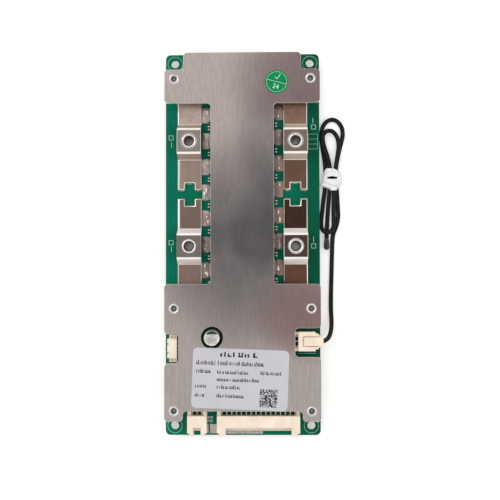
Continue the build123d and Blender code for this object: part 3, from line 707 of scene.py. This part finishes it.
plated_steel = Surface("plated_steel", (0.2, 0.1, 2.5), 1.0)
plated_steel.set(
    base_color=plated_steel.clouded(plated_steel.grain(2.5), (222, 220, 218), (244, 242, 240)),
    normal=plated_steel.relief(plated_steel.grain(0.3, 1.0), 0.003),
)
standoff_zinc = Surface("standoff_zinc", (0.26, 0.12, 1.2), 1.0)
zinc_cloud = standoff_zinc.grain(1.2)
standoff_zinc.set(base_color=standoff_zinc.clouded(zinc_cloud, (222, 220, 218), (250, 248, 246)))
# The thread's faces in the bores get a duller, darker grey than the plating: painted shade inside
# the bore.
bore_painted_shade = Surface("bore_painted_shade", (0.45, 0.2, 0.4), 0.4, base_color=tint(150, 147, 144))


def islands(node):
    """The lowest and highest corner of each separate solid of a node."""
    shape = merged_copy(node)
    boxes = []
    unseen = set(shape.verts)
    while unseen:
        found = [unseen.pop()]
        for vert in found:
            for edge in vert.link_edges:
                other = edge.other_vert(vert)
                if other in unseen:
                    unseen.discard(other)
                    found.append(other)
        places = [vert.co for vert in found]
        boxes.append((Vector(map(min, *places)), Vector(map(max, *places))))
    shape.free()
    return sorted(boxes, key=lambda box: tuple(box[0]))


def thread(root, crest, low, high, pitch):
    """The zigzag wall of a threaded hole, from its top to its bottom."""
    points = [(crest, high)]
    while high - pitch > low:
        points += [(root, high - pitch / 2), (crest, high - pitch)]
        high -= pitch
    return points


def second_finish(faces):
    """Gives these faces the second finish of their piece."""
    for face in faces:
        face.material_index = 1


standoffs = bmesh.new()
standoff_spots = [((low + high) / 2).xy for low, high in islands("spreader_standoffs")]
for x, y in standoff_spots:
    corner = standoff_hex / math.cos(math.pi / 6)
    profile = [(standoff_bore, board_top), (corner, board_top), (corner, plate_bottom)]
    profile += [(standoff_bore, plate_bottom), (standoff_bore, board_top)]
    add_turned(standoffs, profile, (x, y, 0), 6)
    profile = [(standoff_bore, plate_bottom), (standoff_shank, plate_bottom)]
    root, mouth = standoff_bore + thread_depth, plate_top - crown_round
    profile += arc(crown_middle, mouth, crown_round, 0, 180, 8)
    profile += thread(root, standoff_bore, plate_bottom, mouth, standoff_pitch)
    profile.append(profile[0])
    for vert in add_turned(standoffs, profile, (x, y, 0), 36):
        arm = vert.co.xy - Vector((x, y))
        notch = round(math.atan2(arm.y, arm.x) / math.tau * 36) % 3 == 0
        if notch and arm.length > standoff_shank * 0.9 and vert.co.z > plate_bottom + 0.1 * mm:
            vert.co.xy = Vector((x, y)) + arm * 0.97
# The faces down the bore, inside the ring, take the painted bore shade.
for face in standoffs.faces:
    middle = face.calc_center_median()
    reach = min((middle.xy - spot).length for spot in standoff_spots)
    if reach < crown_middle - 0.8 * crown_round and middle.z > plate_bottom:
        second_finish([face])
add_piece(
    "spreader_standoff_set", standoffs, [standoff_zinc, bore_painted_shade],
    ["spreader_standoffs"],
)


# Screws for the plate. They come up through the board, and their round heads with a
# cross recess are what the board stands on.
screw_low, screw_tip = (corner.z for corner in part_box("spreader_screws"))
screw_head_radius = 2.8 * mm
screw_shank_radius = 1.2 * mm
head_round = 0.8 * mm
screw_point = 0.4 * mm
recess_depth = 1.3 * mm
recess_length = 3.0 * mm
recess_width = 0.62 * mm
sliver = 0.004 * mm

screws = bmesh.new()
for x, y in standoff_spots:
    profile = [(0.0, screw_low)]
    profile += arc(screw_head_radius - head_round, screw_low + head_round, head_round, -90, 0, 5)
    profile += [(screw_head_radius, board_bottom), (screw_shank_radius, board_bottom)]
    profile += [(screw_shank_radius, screw_tip - screw_point)]
    profile += [(screw_shank_radius * 0.6, screw_tip), (0.0, screw_tip)]
    add_turned(screws, profile, (x, y, 0), 32)
recesses = bmesh.new()
for index, (x, y) in enumerate(standoff_spots):
    before = set(recesses.verts)
    core = Matrix.Diagonal((recess_width, recess_width, 2 * recess_depth, 1.0))
    made = bmesh.ops.create_cube(recesses, size=1.0, matrix=core)["verts"]
    faces = faces_on(made)
    sides = [face for face in faces if abs(face.calc_center_median().z) < recess_depth / 2]
    for face in bmesh.ops.extrude_discrete_faces(recesses, faces=sides)["faces"]:
        outward = face.calc_center_median().normalized()
        reach = (recess_length - recess_width) / 2
        bmesh.ops.translate(recesses, verts=face.verts, vec=outward * reach)
    made = [vert for vert in recesses.verts if vert not in before]
    deep = [vert for vert in made if vert.co.z > 0]
    bmesh.ops.scale(recesses, vec=(0.5, 0.5, 1.0), verts=deep)
    place = Matrix.Translation((x, y, screw_low)) @ Matrix.Rotation(0.7 * index, 4, "Z")
    bmesh.ops.transform(recesses, matrix=place, verts=made)
bmesh.ops.recalc_face_normals(recesses, faces=recesses.faces)
body, cutter = linked("screw_bodies", screws), linked("screw_recesses", recesses)
cut = body.modifiers.new("cut", "BOOLEAN")
cut.operation = "DIFFERENCE"
cut.solver = "EXACT"
cut.use_self = True
cut.object = cutter
screws = bmesh.new()
screws.from_mesh(settled(body))
bpy.data.objects.remove(cutter)
bmesh.ops.remove_doubles(screws, verts=screws.verts, dist=sliver)
bmesh.ops.dissolve_degenerate(screws, edges=screws.edges, dist=sliver)
# The screws' ends, up in the bores, take the painted bore shade.
second_finish(face for face in screws.faces if face.calc_center_median().z > board_top)
add_piece(
    "spreader_screw_set", screws, [plated_steel, bore_painted_shade],
    ["spreader_screws"],
)


# Power transistors. Seven on each side of the waist are soldered down by their copper
# tabs, which stand out into the bays, and are moulded in black epoxy.
mould_compound = Surface("mould_compound", (0.5, 0.2, 0.12))
mould_grain = mould_compound.grain(0.12)
mould_compound.set(
    base_color=mould_compound.clouded(mould_grain, (26, 26, 28), (46, 46, 48), 0.3, 0.8),
    normal=mould_compound.relief(mould_grain, 0.01),
)
transistors = [f"{bay}_mosfet_{number}" for bay in bays for number in range(1, 8)]
for node in transistors:
    softened_node(node + "_moulding", node, 0.15 * mm, mould_compound)
# The battery bay's tabs are given a darker tone than the charge bay's: painted shade on the right
# side.
for bay, shade in zip(bays, (tint(181, 170, 165), tint(154, 136, 128))):
    frames = bay + "_mosfet_frames"
    tab_metal = Surface(bay + "_tab_tin", (0.26, 0.2, 1.2), 1.0, base_color=shade)
    tab_metal.set(normal=tab_metal.relief(tab_metal.grain(1.6), 0.05))
    softened_node(bay + "_tabs_and_legs", frames, 0.08 * mm, tab_metal, 1)


# Solder on the transistors' pads. The pad beside each tab is covered with reflowed solder, dull
# where it lies flat, brightened towards the top by painted light and darkened on the right bay's
# pads by painted shade; small lumps stand proud, bright in a whiter finish that paints their
# highlights.
pad_reach = 3.7 * mm
pad_width = 8.3 * mm
pad_lift = 0.35 * mm
tab_showing = 1.2 * mm

pad_solder = Surface("pad_solder", (0.3, 0.2, 1.8), 1.0)
solder_flow = pad_solder.grain(1.8)
painted_light_upward = pad_solder.axis("Y").step(-30.0, 65.0)
solder_tone = solder_flow.step(0.35, 0.7) * 0.4 + painted_light_upward * 0.6
solder_shade = pad_solder.mottled(solder_tone, (146, 128, 122), (214, 200, 194))
painted_shade_right = pad_solder.axis("X").step(-4.0, 4.0)
pad_solder.set(
    base_color=pad_solder.mix(painted_shade_right * 0.7, solder_shade, tint(150, 126, 114)),
    normal=pad_solder.relief(solder_flow, 0.12),
)
solder_white = tint(240, 229, 219)
bright_solder = Surface("bright_solder", (0.16, 0.12, 1.0), 1.0, base_color=solder_white)
bright_solder.set(normal=bright_solder.relief(bright_solder.grain(2.0), 0.05))
tab_solder = bmesh.new()
lumps = random.Random(3)
for transistor in transistors:
    low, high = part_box(transistor)
    side = -1 if high.x < 0 else 1
    edge = max(abs(low.x), abs(high.x)) + tab_showing
    middle = (low.y + high.y) / 2 + lumps.uniform(-0.15, 0.15) * mm
    add_block(
        tab_solder, (side * (edge + pad_reach / 2), middle, board_top + pad_lift / 2),
        (pad_reach, pad_width, pad_lift), 0.15 * mm,
    )
    before = set(tab_solder.faces)
    # Lumps on each pad, in the whiter solder finish: painted highlights.
    for _ in range(lumps.choice((1, 2, 3))):
        spot = (
            side * (edge + lumps.uniform(0.5, 2.6) * mm),
            middle + lumps.uniform(-2.6, 2.6) * mm,
            board_top + pad_lift * 0.6,
        )
        size = lumps.uniform(0.4, 0.8) * mm
        scale = Matrix.Diagonal((size, size * lumps.uniform(0.9, 2.2), size * 0.7, 1.0))
        bmesh.ops.create_icosphere(
            tab_solder, subdivisions=2, radius=1.0, matrix=Matrix.Translation(spot) @ scale
        )
    second_finish(set(tab_solder.faces) - before)
add_piece("tab_solder", tab_solder, [pad_solder, bright_solder], (), 60)


# Chip resistors. Each has a black glazed top on white ceramic, with a soldered cap on
# both ends. They stand in the bays' gaps, along the gates and beside the chips.
chip_cap = 0.06 * mm

chip_glaze = Surface("chip_glaze", (0.25, 0.15, 0.3))
chip_glaze.set(base_color=chip_glaze.mottled(chip_glaze.grain(0.5), (18, 18, 20), (36, 36, 38)))


def dress_chips(name, node, along, share):
    """Chips with tinned caps over this share of both ends, one for each solid."""
    chips = bmesh.new()
    for low, high in islands(node):
        centre, size = (low + high) / 2, (high - low) * 0.98
        add_block(chips, centre, size, 0.05 * mm, 0.0, 1)
        before = set(chips.faces)
        cap_size = high - low
        cap_size[along] *= share
        for end in (-1, 1):
            cap_centre = centre.copy()
            cap_centre[along] += end * (high - low)[along] * (1 - share) / 2
            add_block(chips, cap_centre, cap_size, chip_cap)
        second_finish(set(chips.faces) - before)
    add_piece(name, chips, [chip_glaze, bright_solder], [node], 40, True)


dress_chips("bay_chips", "bay_resistors", 1, 0.28)
dress_chips("gate_chips", "gate_resistors", 0, 0.28)
dress_chips("balance_chips", "balance_resistors", 1, 0.2)
dress_chips("shunt_chips", "current_shunts", 1, 0.3)


# Terminal bars. Each is one strip of tinned copper, embossed on its flats, punched with
# forked ends and bent up in the middle to a raised pad for the cable lug.
# The tones are painted reflections, one each for its upper flat, pad, lower flat and slopes.
bar_round = 0.3 * mm
bar_reflection_tones = {
    "charge_terminal_upper": ((208, 188, 178), (157, 150, 143), (174, 152, 141), (165, 146, 133)),
    "charge_terminal_lower": ((138, 118, 108), (136, 126, 121), (155, 132, 121), (242, 232, 230)),
    "battery_terminal_upper": ((160, 129, 112), (145, 129, 120), (124, 96, 81), (200, 184, 170)),
    "battery_terminal_lower": ((66, 52, 45), (88, 72, 68), (120, 84, 70), (254, 248, 243)),
}
for terminal, tones in bar_reflection_tones.items():
    low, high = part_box(terminal)
    bar_metal = Surface(terminal + "_tin")
    tilt = bar_metal.uprightness()
    flat = tilt.step(0.93, 0.985)
    # Slopes take their painted reflection tone, whitening on the bends into a painted highlight.
    slope_reflection_and_bend_highlight = bar_metal.clouded(tilt, tones[3], (254, 245, 236), 0.52, 0.7)
    from_middle = bar_metal.axis("Y") - (low.y + high.y) / 2 / mm
    emboss = bar_metal.grain(0.7, 3.0).step(0.35, 0.65)
    stain = bar_metal.grain(5.0, 3.0).step(0.35, 0.8)
    lower_or_pad = bar_metal.clouded(from_middle, tones[2], tones[1], -8.6, -8.4)
    flat_reflection_tone = bar_metal.mix(from_middle.step(8.4, 8.6), lower_or_pad, tint(*tones[0]))
    dark_shade = tint(*(channel * 0.75 for channel in tones[2]))
    worn_reflection_tone = bar_metal.mix(stain * 0.25 + emboss * 0.25, flat_reflection_tone, dark_shade)
    bar_metal.set(
        base_color=bar_metal.mix(flat, slope_reflection_and_bend_highlight, worn_reflection_tone),
        metallic=0.2 + 0.8 * flat,
        roughness=0.42 - flat * 0.04 + 0.12 * emboss * flat,
        normal=bar_metal.relief(emboss * flat, 0.03),
    )
    softened_node(terminal + "_bar", terminal, bar_round, bar_metal, 3)


# Solder round the terminal bars. Each bar's flat ends are soldered to the board all round. The
# solder climbs their edges and laps over their top, widest on the left side of the two charge
# bars' forked ends between them, where its wider whitish lap is a painted highlight on the bar's
# rounded edge.
flat_run = 16.05 * mm
fork_half = 2.65 * mm
fork_depth = 3.6 * mm
rim_climb = [(-0.5, 0.0), (-0.32, 0.35), (-0.1, 1.05), (0.1, 1.6), (0.38, 1.68), (0.44, 1.55)]
highlight_lap = 0.7

rims = bmesh.new()
for terminal in terminals:
    low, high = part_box(terminal)
    middle, half = (low.x + high.x) / 2, (high.x - low.x) / 2
    outline = [(half, flat_run, -1, 0), (half, 0, -1, 1)]
    outline += [(fork_half, 0, 1, 1), (fork_half, fork_depth, 1, 1)]
    outline += [(-x, y, -side, away) for x, y, side, away in reversed(outline)]
    for end in (-1, 1):
        tip = high.y if end > 0 else low.y
        highlight_side = middle < 0 and (terminal.endswith("upper") == (end < 0))
        rows = []
        for inward, height in rim_climb:
            row = []
            for x, y, side, away in outline:
                lap = highlight_lap if x == -half and highlight_side and inward > 0.2 else 0.0
                across = middle + x + side * (inward + lap) * mm
                along = tip - end * (y + away * inward * mm)
                row.append(rims.verts.new((across, along, board_top + height * mm)))
            rows.append([rims.edges.new(pair) for pair in zip(row, row[1:])])
        for lower, upper in zip(rows, rows[1:] + rows[:1]):
            bmesh.ops.bridge_loops(rims, edges=lower + upper)
open_ends = [edge for edge in rims.edges if edge.is_boundary]
bmesh.ops.holes_fill(rims, edges=open_ends)
bmesh.ops.recalc_face_normals(rims, faces=rims.faces)
add_piece("terminal_solder", rims, [bright_solder], (), 80)


# Press-in nuts. Each steel nut is pushed up through its pad, so that its shank shows
# as a bright ring with a turned-in mouth round the thread for the cable's screw.
nut_bore = 2.1 * mm
nut_shank = 3.85 * mm
nut_body = 4.7 * mm
nut_body_height = 3.2 * mm
lip_round = 0.52 * mm
lip_middle = 3.14 * mm
nut_chamfer = 0.3 * mm
nut_mouth = [(nut_shank, 0.5 * mm), (nut_shank - 0.15 * mm, 0.4 * mm)]
nut_mouth += [(lip_middle + lip_round, 0.6 * mm)]
nut_pitch = 0.8 * mm

# The bore's thread and the band just outside the ring get a dark brownish grey: painted shade in
# the bore and beside the ring.
painted_nut_shade = Surface("painted_nut_shade", (0.45, 0.2, 0.4), 1.0, base_color=tint(104, 92, 86))
nuts = bmesh.new()
nut_nodes = [terminal.replace("terminal", "nut") for terminal in terminals]
for node in nut_nodes:
    low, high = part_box(node)
    centre = middle_of(node).xy
    root = nut_bore + nut_chamfer
    shoulder = low.z + nut_body_height
    profile = [(root, low.z), (nut_body - nut_chamfer, low.z), (nut_body, low.z + nut_chamfer)]
    profile += [(nut_body, shoulder), (nut_shank, shoulder)]
    profile += [(radius, high.z - depth) for radius, depth in nut_mouth]
    profile += arc(lip_middle, high.z - lip_round, lip_round, 0, 180, 12)
    crest = nut_bore + 0.02 * mm
    profile += thread(root, crest, low.z + 0.4 * mm, high.z - 0.9 * mm, nut_pitch)
    verts = add_turned(nuts, profile + [profile[0]], (*centre, 0), 48)
    # Faces down the bore and outside the ring take the painted shade.
    for face in faces_on(verts):
        middle = face.calc_center_median()
        reach = (middle.xy - centre).length
        outside = reach > lip_middle + lip_round and middle.z > high.z - 0.65 * mm
        if outside or reach < lip_middle - 0.9 * lip_round:
            second_finish([face])
add_piece("terminal_nut_set", nuts, [standoff_zinc, painted_nut_shade], nut_nodes, 50)


# Headers. The wide one, the three-way one and the sensor's are moulded in cream nylon
# and open sideways; the small one at the left edge has solder ears.
for header in ("balance_header", "aux_header", "sensor_header", "port_header"):
    softened_node(header + "_moulding", header, 0.12 * mm, cream_nylon)
for pins in ("balance_pins", "aux_pins", "sensor_pins", "port_pins"):
    softened_node(pins + "_formed", pins, 0.06 * mm, tinned_metal, 1)


# Capacitor. It is a drawn aluminium can with a rolled groove above its moulded seat, and
# the side of its negative lead is marked by a black segment on the top.
can_low, can_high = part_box("capacitor_can")
can_radius = (can_high.x - can_low.x) / 2
can_x, can_y = middle_of("capacitor_can").xy
can_round = 0.8 * mm
foot_round = 0.2 * mm
groove_height = 2.3 * mm
groove_round = 0.45 * mm
segment_start = 1.9

can_metal = Surface("can_metal")
segment_side = (can_metal.axis("Y") - can_y / mm).step(segment_start, segment_start + 0.08)
on_top = can_metal.axis("Z").step(can_high.z / mm - 0.2, can_high.z / mm - 0.14)
segment = segment_side * on_top
can_grain = can_metal.grain(0.8, 3.0, (3.0, 1.0, 1.0))
can_shade = can_metal.clouded(can_grain, (208, 205, 200), (240, 238, 234), 0.35, 0.65)
can_metal.set(
    base_color=can_metal.mix(segment, can_shade, tint(44, 42, 42)),
    metallic=1 - segment,
    roughness=0.26 + 0.12 * can_grain + 0.2 * segment,
    normal=can_metal.relief(can_grain, 0.02),
)
dished = can_high.z - 0.04 * mm
can_profile = [(0.0, can_low.z), (can_radius - foot_round, can_low.z)]
can_profile += [(can_radius, can_low.z + foot_round)]
can_profile += arc(can_radius, can_low.z + groove_height, groove_round, 270, 90, 8)
can_profile += arc(can_radius - can_round, can_high.z - can_round, can_round, 0, 90, 8)
can_profile += [(can_radius - can_round - 0.1 * mm, dished), (0.0, dished)]
can = bmesh.new()
add_turned(can, can_profile, (can_x, can_y, 0), 64)
add_piece("capacitor_shell", can, [can_metal], ["capacitor_can"])
softened_node("capacitor_seat", "capacitor_base", 0.1 * mm, mould_compound)


# Parts under the plate. Chips, clamps and transistors in black epoxy, an inductor pressed
# from ferrite, soft grey pads that carry the heat, and tinned legs.
ferrite = Surface("ferrite", 0.7)
ferrite_grain = ferrite.grain(0.3, 3.0)
ferrite.set(
    base_color=ferrite.mottled(ferrite_grain, (60, 60, 62), (84, 84, 86)),
    normal=ferrite.relief(ferrite_grain, 0.04),
)
gap_pad = Surface("gap_pad", 0.8)
pad_grain = gap_pad.grain(0.5)
gap_pad.set(
    base_color=gap_pad.mottled(pad_grain, (158, 166, 178), (178, 186, 194)),
    normal=gap_pad.relief(pad_grain, 0.05),
)
black_parts = ["clamp_diodes", "gate_drivers", "monitor_chip", "control_chip"]
for part in black_parts + ["balance_transistors", "port_isolators"]:
    softened_node(part + "_moulding", part, 0.1 * mm, mould_compound, 1)
softened_node("chip_leg_set", "chip_legs", 0.03 * mm, tinned_metal, 1)
softened_node("inductor_core", "regulator_inductor", 0.25 * mm, ferrite)
for pad in ("thermal_pad_left", "thermal_pad_right"):
    softened_node(pad + "_strip", pad, 0.15 * mm, gap_pad)


# Solder joints of the headers' pins. Wave soldering leaves a small bright cone round
# each pin on the board's underside.
joint_profile = [(0.0, 0.0), (0.95, 0.0), (0.8, -0.12), (0.6, -0.45), (0.5, -0.9)]
joint_profile += [(0.42, -1.2), (0.0, -1.3)]

joints = bmesh.new()
for pins in ("balance_pins", "aux_pins", "sensor_pins"):
    for low, high in islands(pins):
        tails = [vertex.co for vertex in nodes[pins].data.vertices if vertex.co.z < board_bottom]
        tails = [tail for tail in tails if all(low[i] <= tail[i] <= high[i] for i in (0, 1))]
        spot = sum(tails, Vector()) / len(tails)
        profile = [(radius * mm, height * mm) for radius, height in joint_profile]
        add_turned(joints, profile, (spot.x, spot.y, board_bottom), 20)
add_piece("pin_solder", joints, [bright_solder], (), 60)


# Rating label. It is a silver-grey film label with rounded corners, stuck on a little
# askew, with rows of plain dark strokes and a plain pattern where print would be.
label_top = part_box("rating_label")[1].z
label_centre = middle_of("rating_label").xy
label_askew = math.radians(-2.2)
label_rows = [
    (-10.6, 12.3, 17.4, 2.4, 1.0),
    (-22.6, 7.9, 9.4, 2.2, 0.42),
    (-11.6, 7.9, 23.0, 2.2, 0.42),
    (-22.6, 3.6, 7.8, 2.0, 0.42),
    (-11.8, 3.3, 15.6, 1.7, 0.36),
    (10.2, 3.6, 10.6, 1.8, 0.4),
    (-11.9, -0.4, 21.0, 1.7, 0.4),
    (-22.8, -4.0, 5.4, 1.8, 0.42),
    (-11.8, -4.2, 11.6, 1.8, 0.42),
    (-22.8, -8.6, 5.4, 1.8, 0.42),
    (-11.8, -8.6, 13.6, 1.8, 0.42),
]
foot_share = 0.5
inked_share = 0.55
square_corner = Vector((10.2, -13.6))
square_cells = 21
square_cell = 0.43

label_film = Surface("label_film", (0.34, 0.1, 0.8))
label_cloud = label_film.grain(8.0)
label_film.set(base_color=label_film.mottled(label_cloud, (192, 190, 198), (204, 202, 207)))
finish_node("rating_label", label_film)

label_ink = Surface("label_ink", (0.45, 0.15, 0.5), base_color=tint(40, 37, 42))
strokes = bmesh.new()
order = random.Random(17)


def print_block(corner, wide, tall):
    """A printed block on the label, from its lower left corner in millimetres."""
    spot = Matrix.Rotation(label_askew, 2) @ (Vector(corner) + Vector((wide, tall)) / 2)
    centre = (*(label_centre + spot * mm), label_top + ink_height / 2)
    add_block(strokes, centre, (wide * mm, tall * mm, ink_height), 0.0, label_askew)


for x, y, length, height, weight in label_rows:
    reach = 0.0
    while reach < length:
        wide = order.uniform(0.7, 1.3) * weight
        tall = height * order.choice((0.72, 0.72, 1.0))
        print_block((x + reach, y - height / 2), wide, tall)
        if order.random() < foot_share:
            foot = (x + reach - 0.02, y - height / 2 - 0.02)
            print_block(foot, wide + weight * 1.2, weight * 0.7)
        reach += wide + weight * order.choice((0.6, 0.8, 1.0, 1.9))
for row in range(square_cells):
    start = None
    for column in range(square_cells + 1):
        inked = column < square_cells and order.random() < inked_share
        if inked and start is None:
            start = column
        if not inked and start is not None:
            corner = square_corner + Vector((start, row)) * square_cell
            print_block(corner, (column - start) * square_cell, square_cell * 0.97)
            start = None
add_piece("label_strokes", strokes, [label_ink])


# Inspection sticker. It is a round green vinyl sticker with a white ring and a slanted
# line, and a plain tick mark and plain numbers in its halves.
seal_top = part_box("inspection_sticker")[1].z
seal_x, seal_y = middle_of("inspection_sticker").xy
seal_slant = -15
seal_bars = [(0.0, 0.0, 10.2, 0.17, seal_slant), (-0.3, 2.0, 0.32, 1.7, 40)]
seal_bars += [(1.0, 2.6, 0.32, 3.2, -35)]

seal_film = Surface("seal_film", (0.36, 0.12, 0.7), specular_ior_level=0.15)
seal_film.set(base_color=seal_film.mottled(seal_film.grain(3.0), (2, 126, 70), (5, 140, 82)))
finish_node("inspection_sticker", seal_film)
seal_white = Surface("seal_white", (0.45, 0.15, 0.6), base_color=tint(206, 236, 220))

seal_marks = bmesh.new()
add_ring(seal_marks, seal_x, seal_y, 5.1 * mm, 5.24 * mm, seal_top)
for x, y, wide, tall, turn in seal_bars:
    across, along = seal_x / mm + x, seal_y / mm + y
    add_mark(seal_marks, across, along, wide, tall, seal_top, math.radians(turn))
numbers = bpy.data.curves.new("seal_numbers", "FONT")
numbers.body = "24"
numbers.size = 3.4 * mm
numbers.align_x = "CENTER"
numbers.align_y = "CENTER"
numbers.extrude = ink_height / 2
numbers_mesh = settled(linked("seal_numbers", numbers))
numbers_centre = (seal_x - 0.5 * mm, seal_y - 2.5 * mm, seal_top + ink_height / 2)
numbers_turn = Matrix.Rotation(math.radians(seal_slant), 4, "Z")
numbers_mesh.transform(Matrix.Translation(numbers_centre) @ numbers_turn)
seal_marks.from_mesh(numbers_mesh)
bmesh.ops.remove_doubles(seal_marks, verts=seal_marks.verts, dist=0.001 * mm)
add_piece("seal_print", seal_marks, [seal_white])


# Studio floor and light. The board stands on a pale seamless floor between two soft
# boxes, under a bright sky that darkens straight above it, where the camera hangs.
floor_level = screw_low - 0.05 * mm
floor_half = 2.0
floor_glow = 0.35

floor_shape = bmesh.new()
floor_place = Matrix.Translation((0, 0, floor_level))
bmesh.ops.create_grid(floor_shape, x_segments=1, y_segments=1, size=floor_half, matrix=floor_place)
floor_paper = Surface("floor_paper", 0.9, base_color=tint(234, 234, 234))
camera_ray, glossy_ray, clear_ray = (
    floor_paper.node("ShaderNodeLightPath", {}, {}, name)
    for name in ("Is Camera Ray", "Is Glossy Ray", "Is Transmission Ray")
)
lit = camera_ray.math("MAXIMUM", camera_ray, glossy_ray)
lit = lit.math("MAXIMUM", lit, clear_ray)
glow = floor_paper.mix(lit, (0, 0, 0, 1), (floor_glow, floor_glow, floor_glow, 1))
floor_paper.set(emission_color=glow, emission_strength=1.0)
floor = linked("floor", floor_shape)
floor.data.materials.append(floor_paper.material)

sky_stops = [(0.0, 0.24), (0.04, 0.3), (0.12, 0.5), (0.28, 0.78), (0.5, 1.0), (1.0, 1.1)]
world = bpy.data.worlds.new("studio")
world.use_nodes = True
scene.world = world
sky = Tree(world.node_tree)
direction = sky.node("ShaderNodeTexCoord", {}, {}, "Generated")
upward = sky.node("ShaderNodeSeparateXYZ", {}, {0: direction}, "Z")
from_top = upward.math("ARCCOSINE") / (math.pi / 2)
brightness = sky.node("ShaderNodeValToRGB", {"stops": sky_stops}, {0: from_top})
seen = sky.node("ShaderNodeLightPath", {}, {}, "Is Camera Ray")
backdrop = sky.mix(seen, brightness, (1, 1, 1, 1))
sky.join(world.node_tree.nodes["Background"].inputs["Color"], backdrop)

for name, place, size, power in (
    ("key_box", (-0.8, 0.6, 0.7), 0.8, 3.0),
    ("fill_box", (0.9, -0.3, 0.6), 0.8, 1.5),
):
    lamp = bpy.data.lights.new(name, "AREA")
    lamp.size = size
    lamp.energy = power
    lamp_object = linked(name, lamp)
    lamp_object.location = place
    lamp_object.rotation_euler = (-Vector(place)).to_track_quat("-Z", "Y").to_euler()
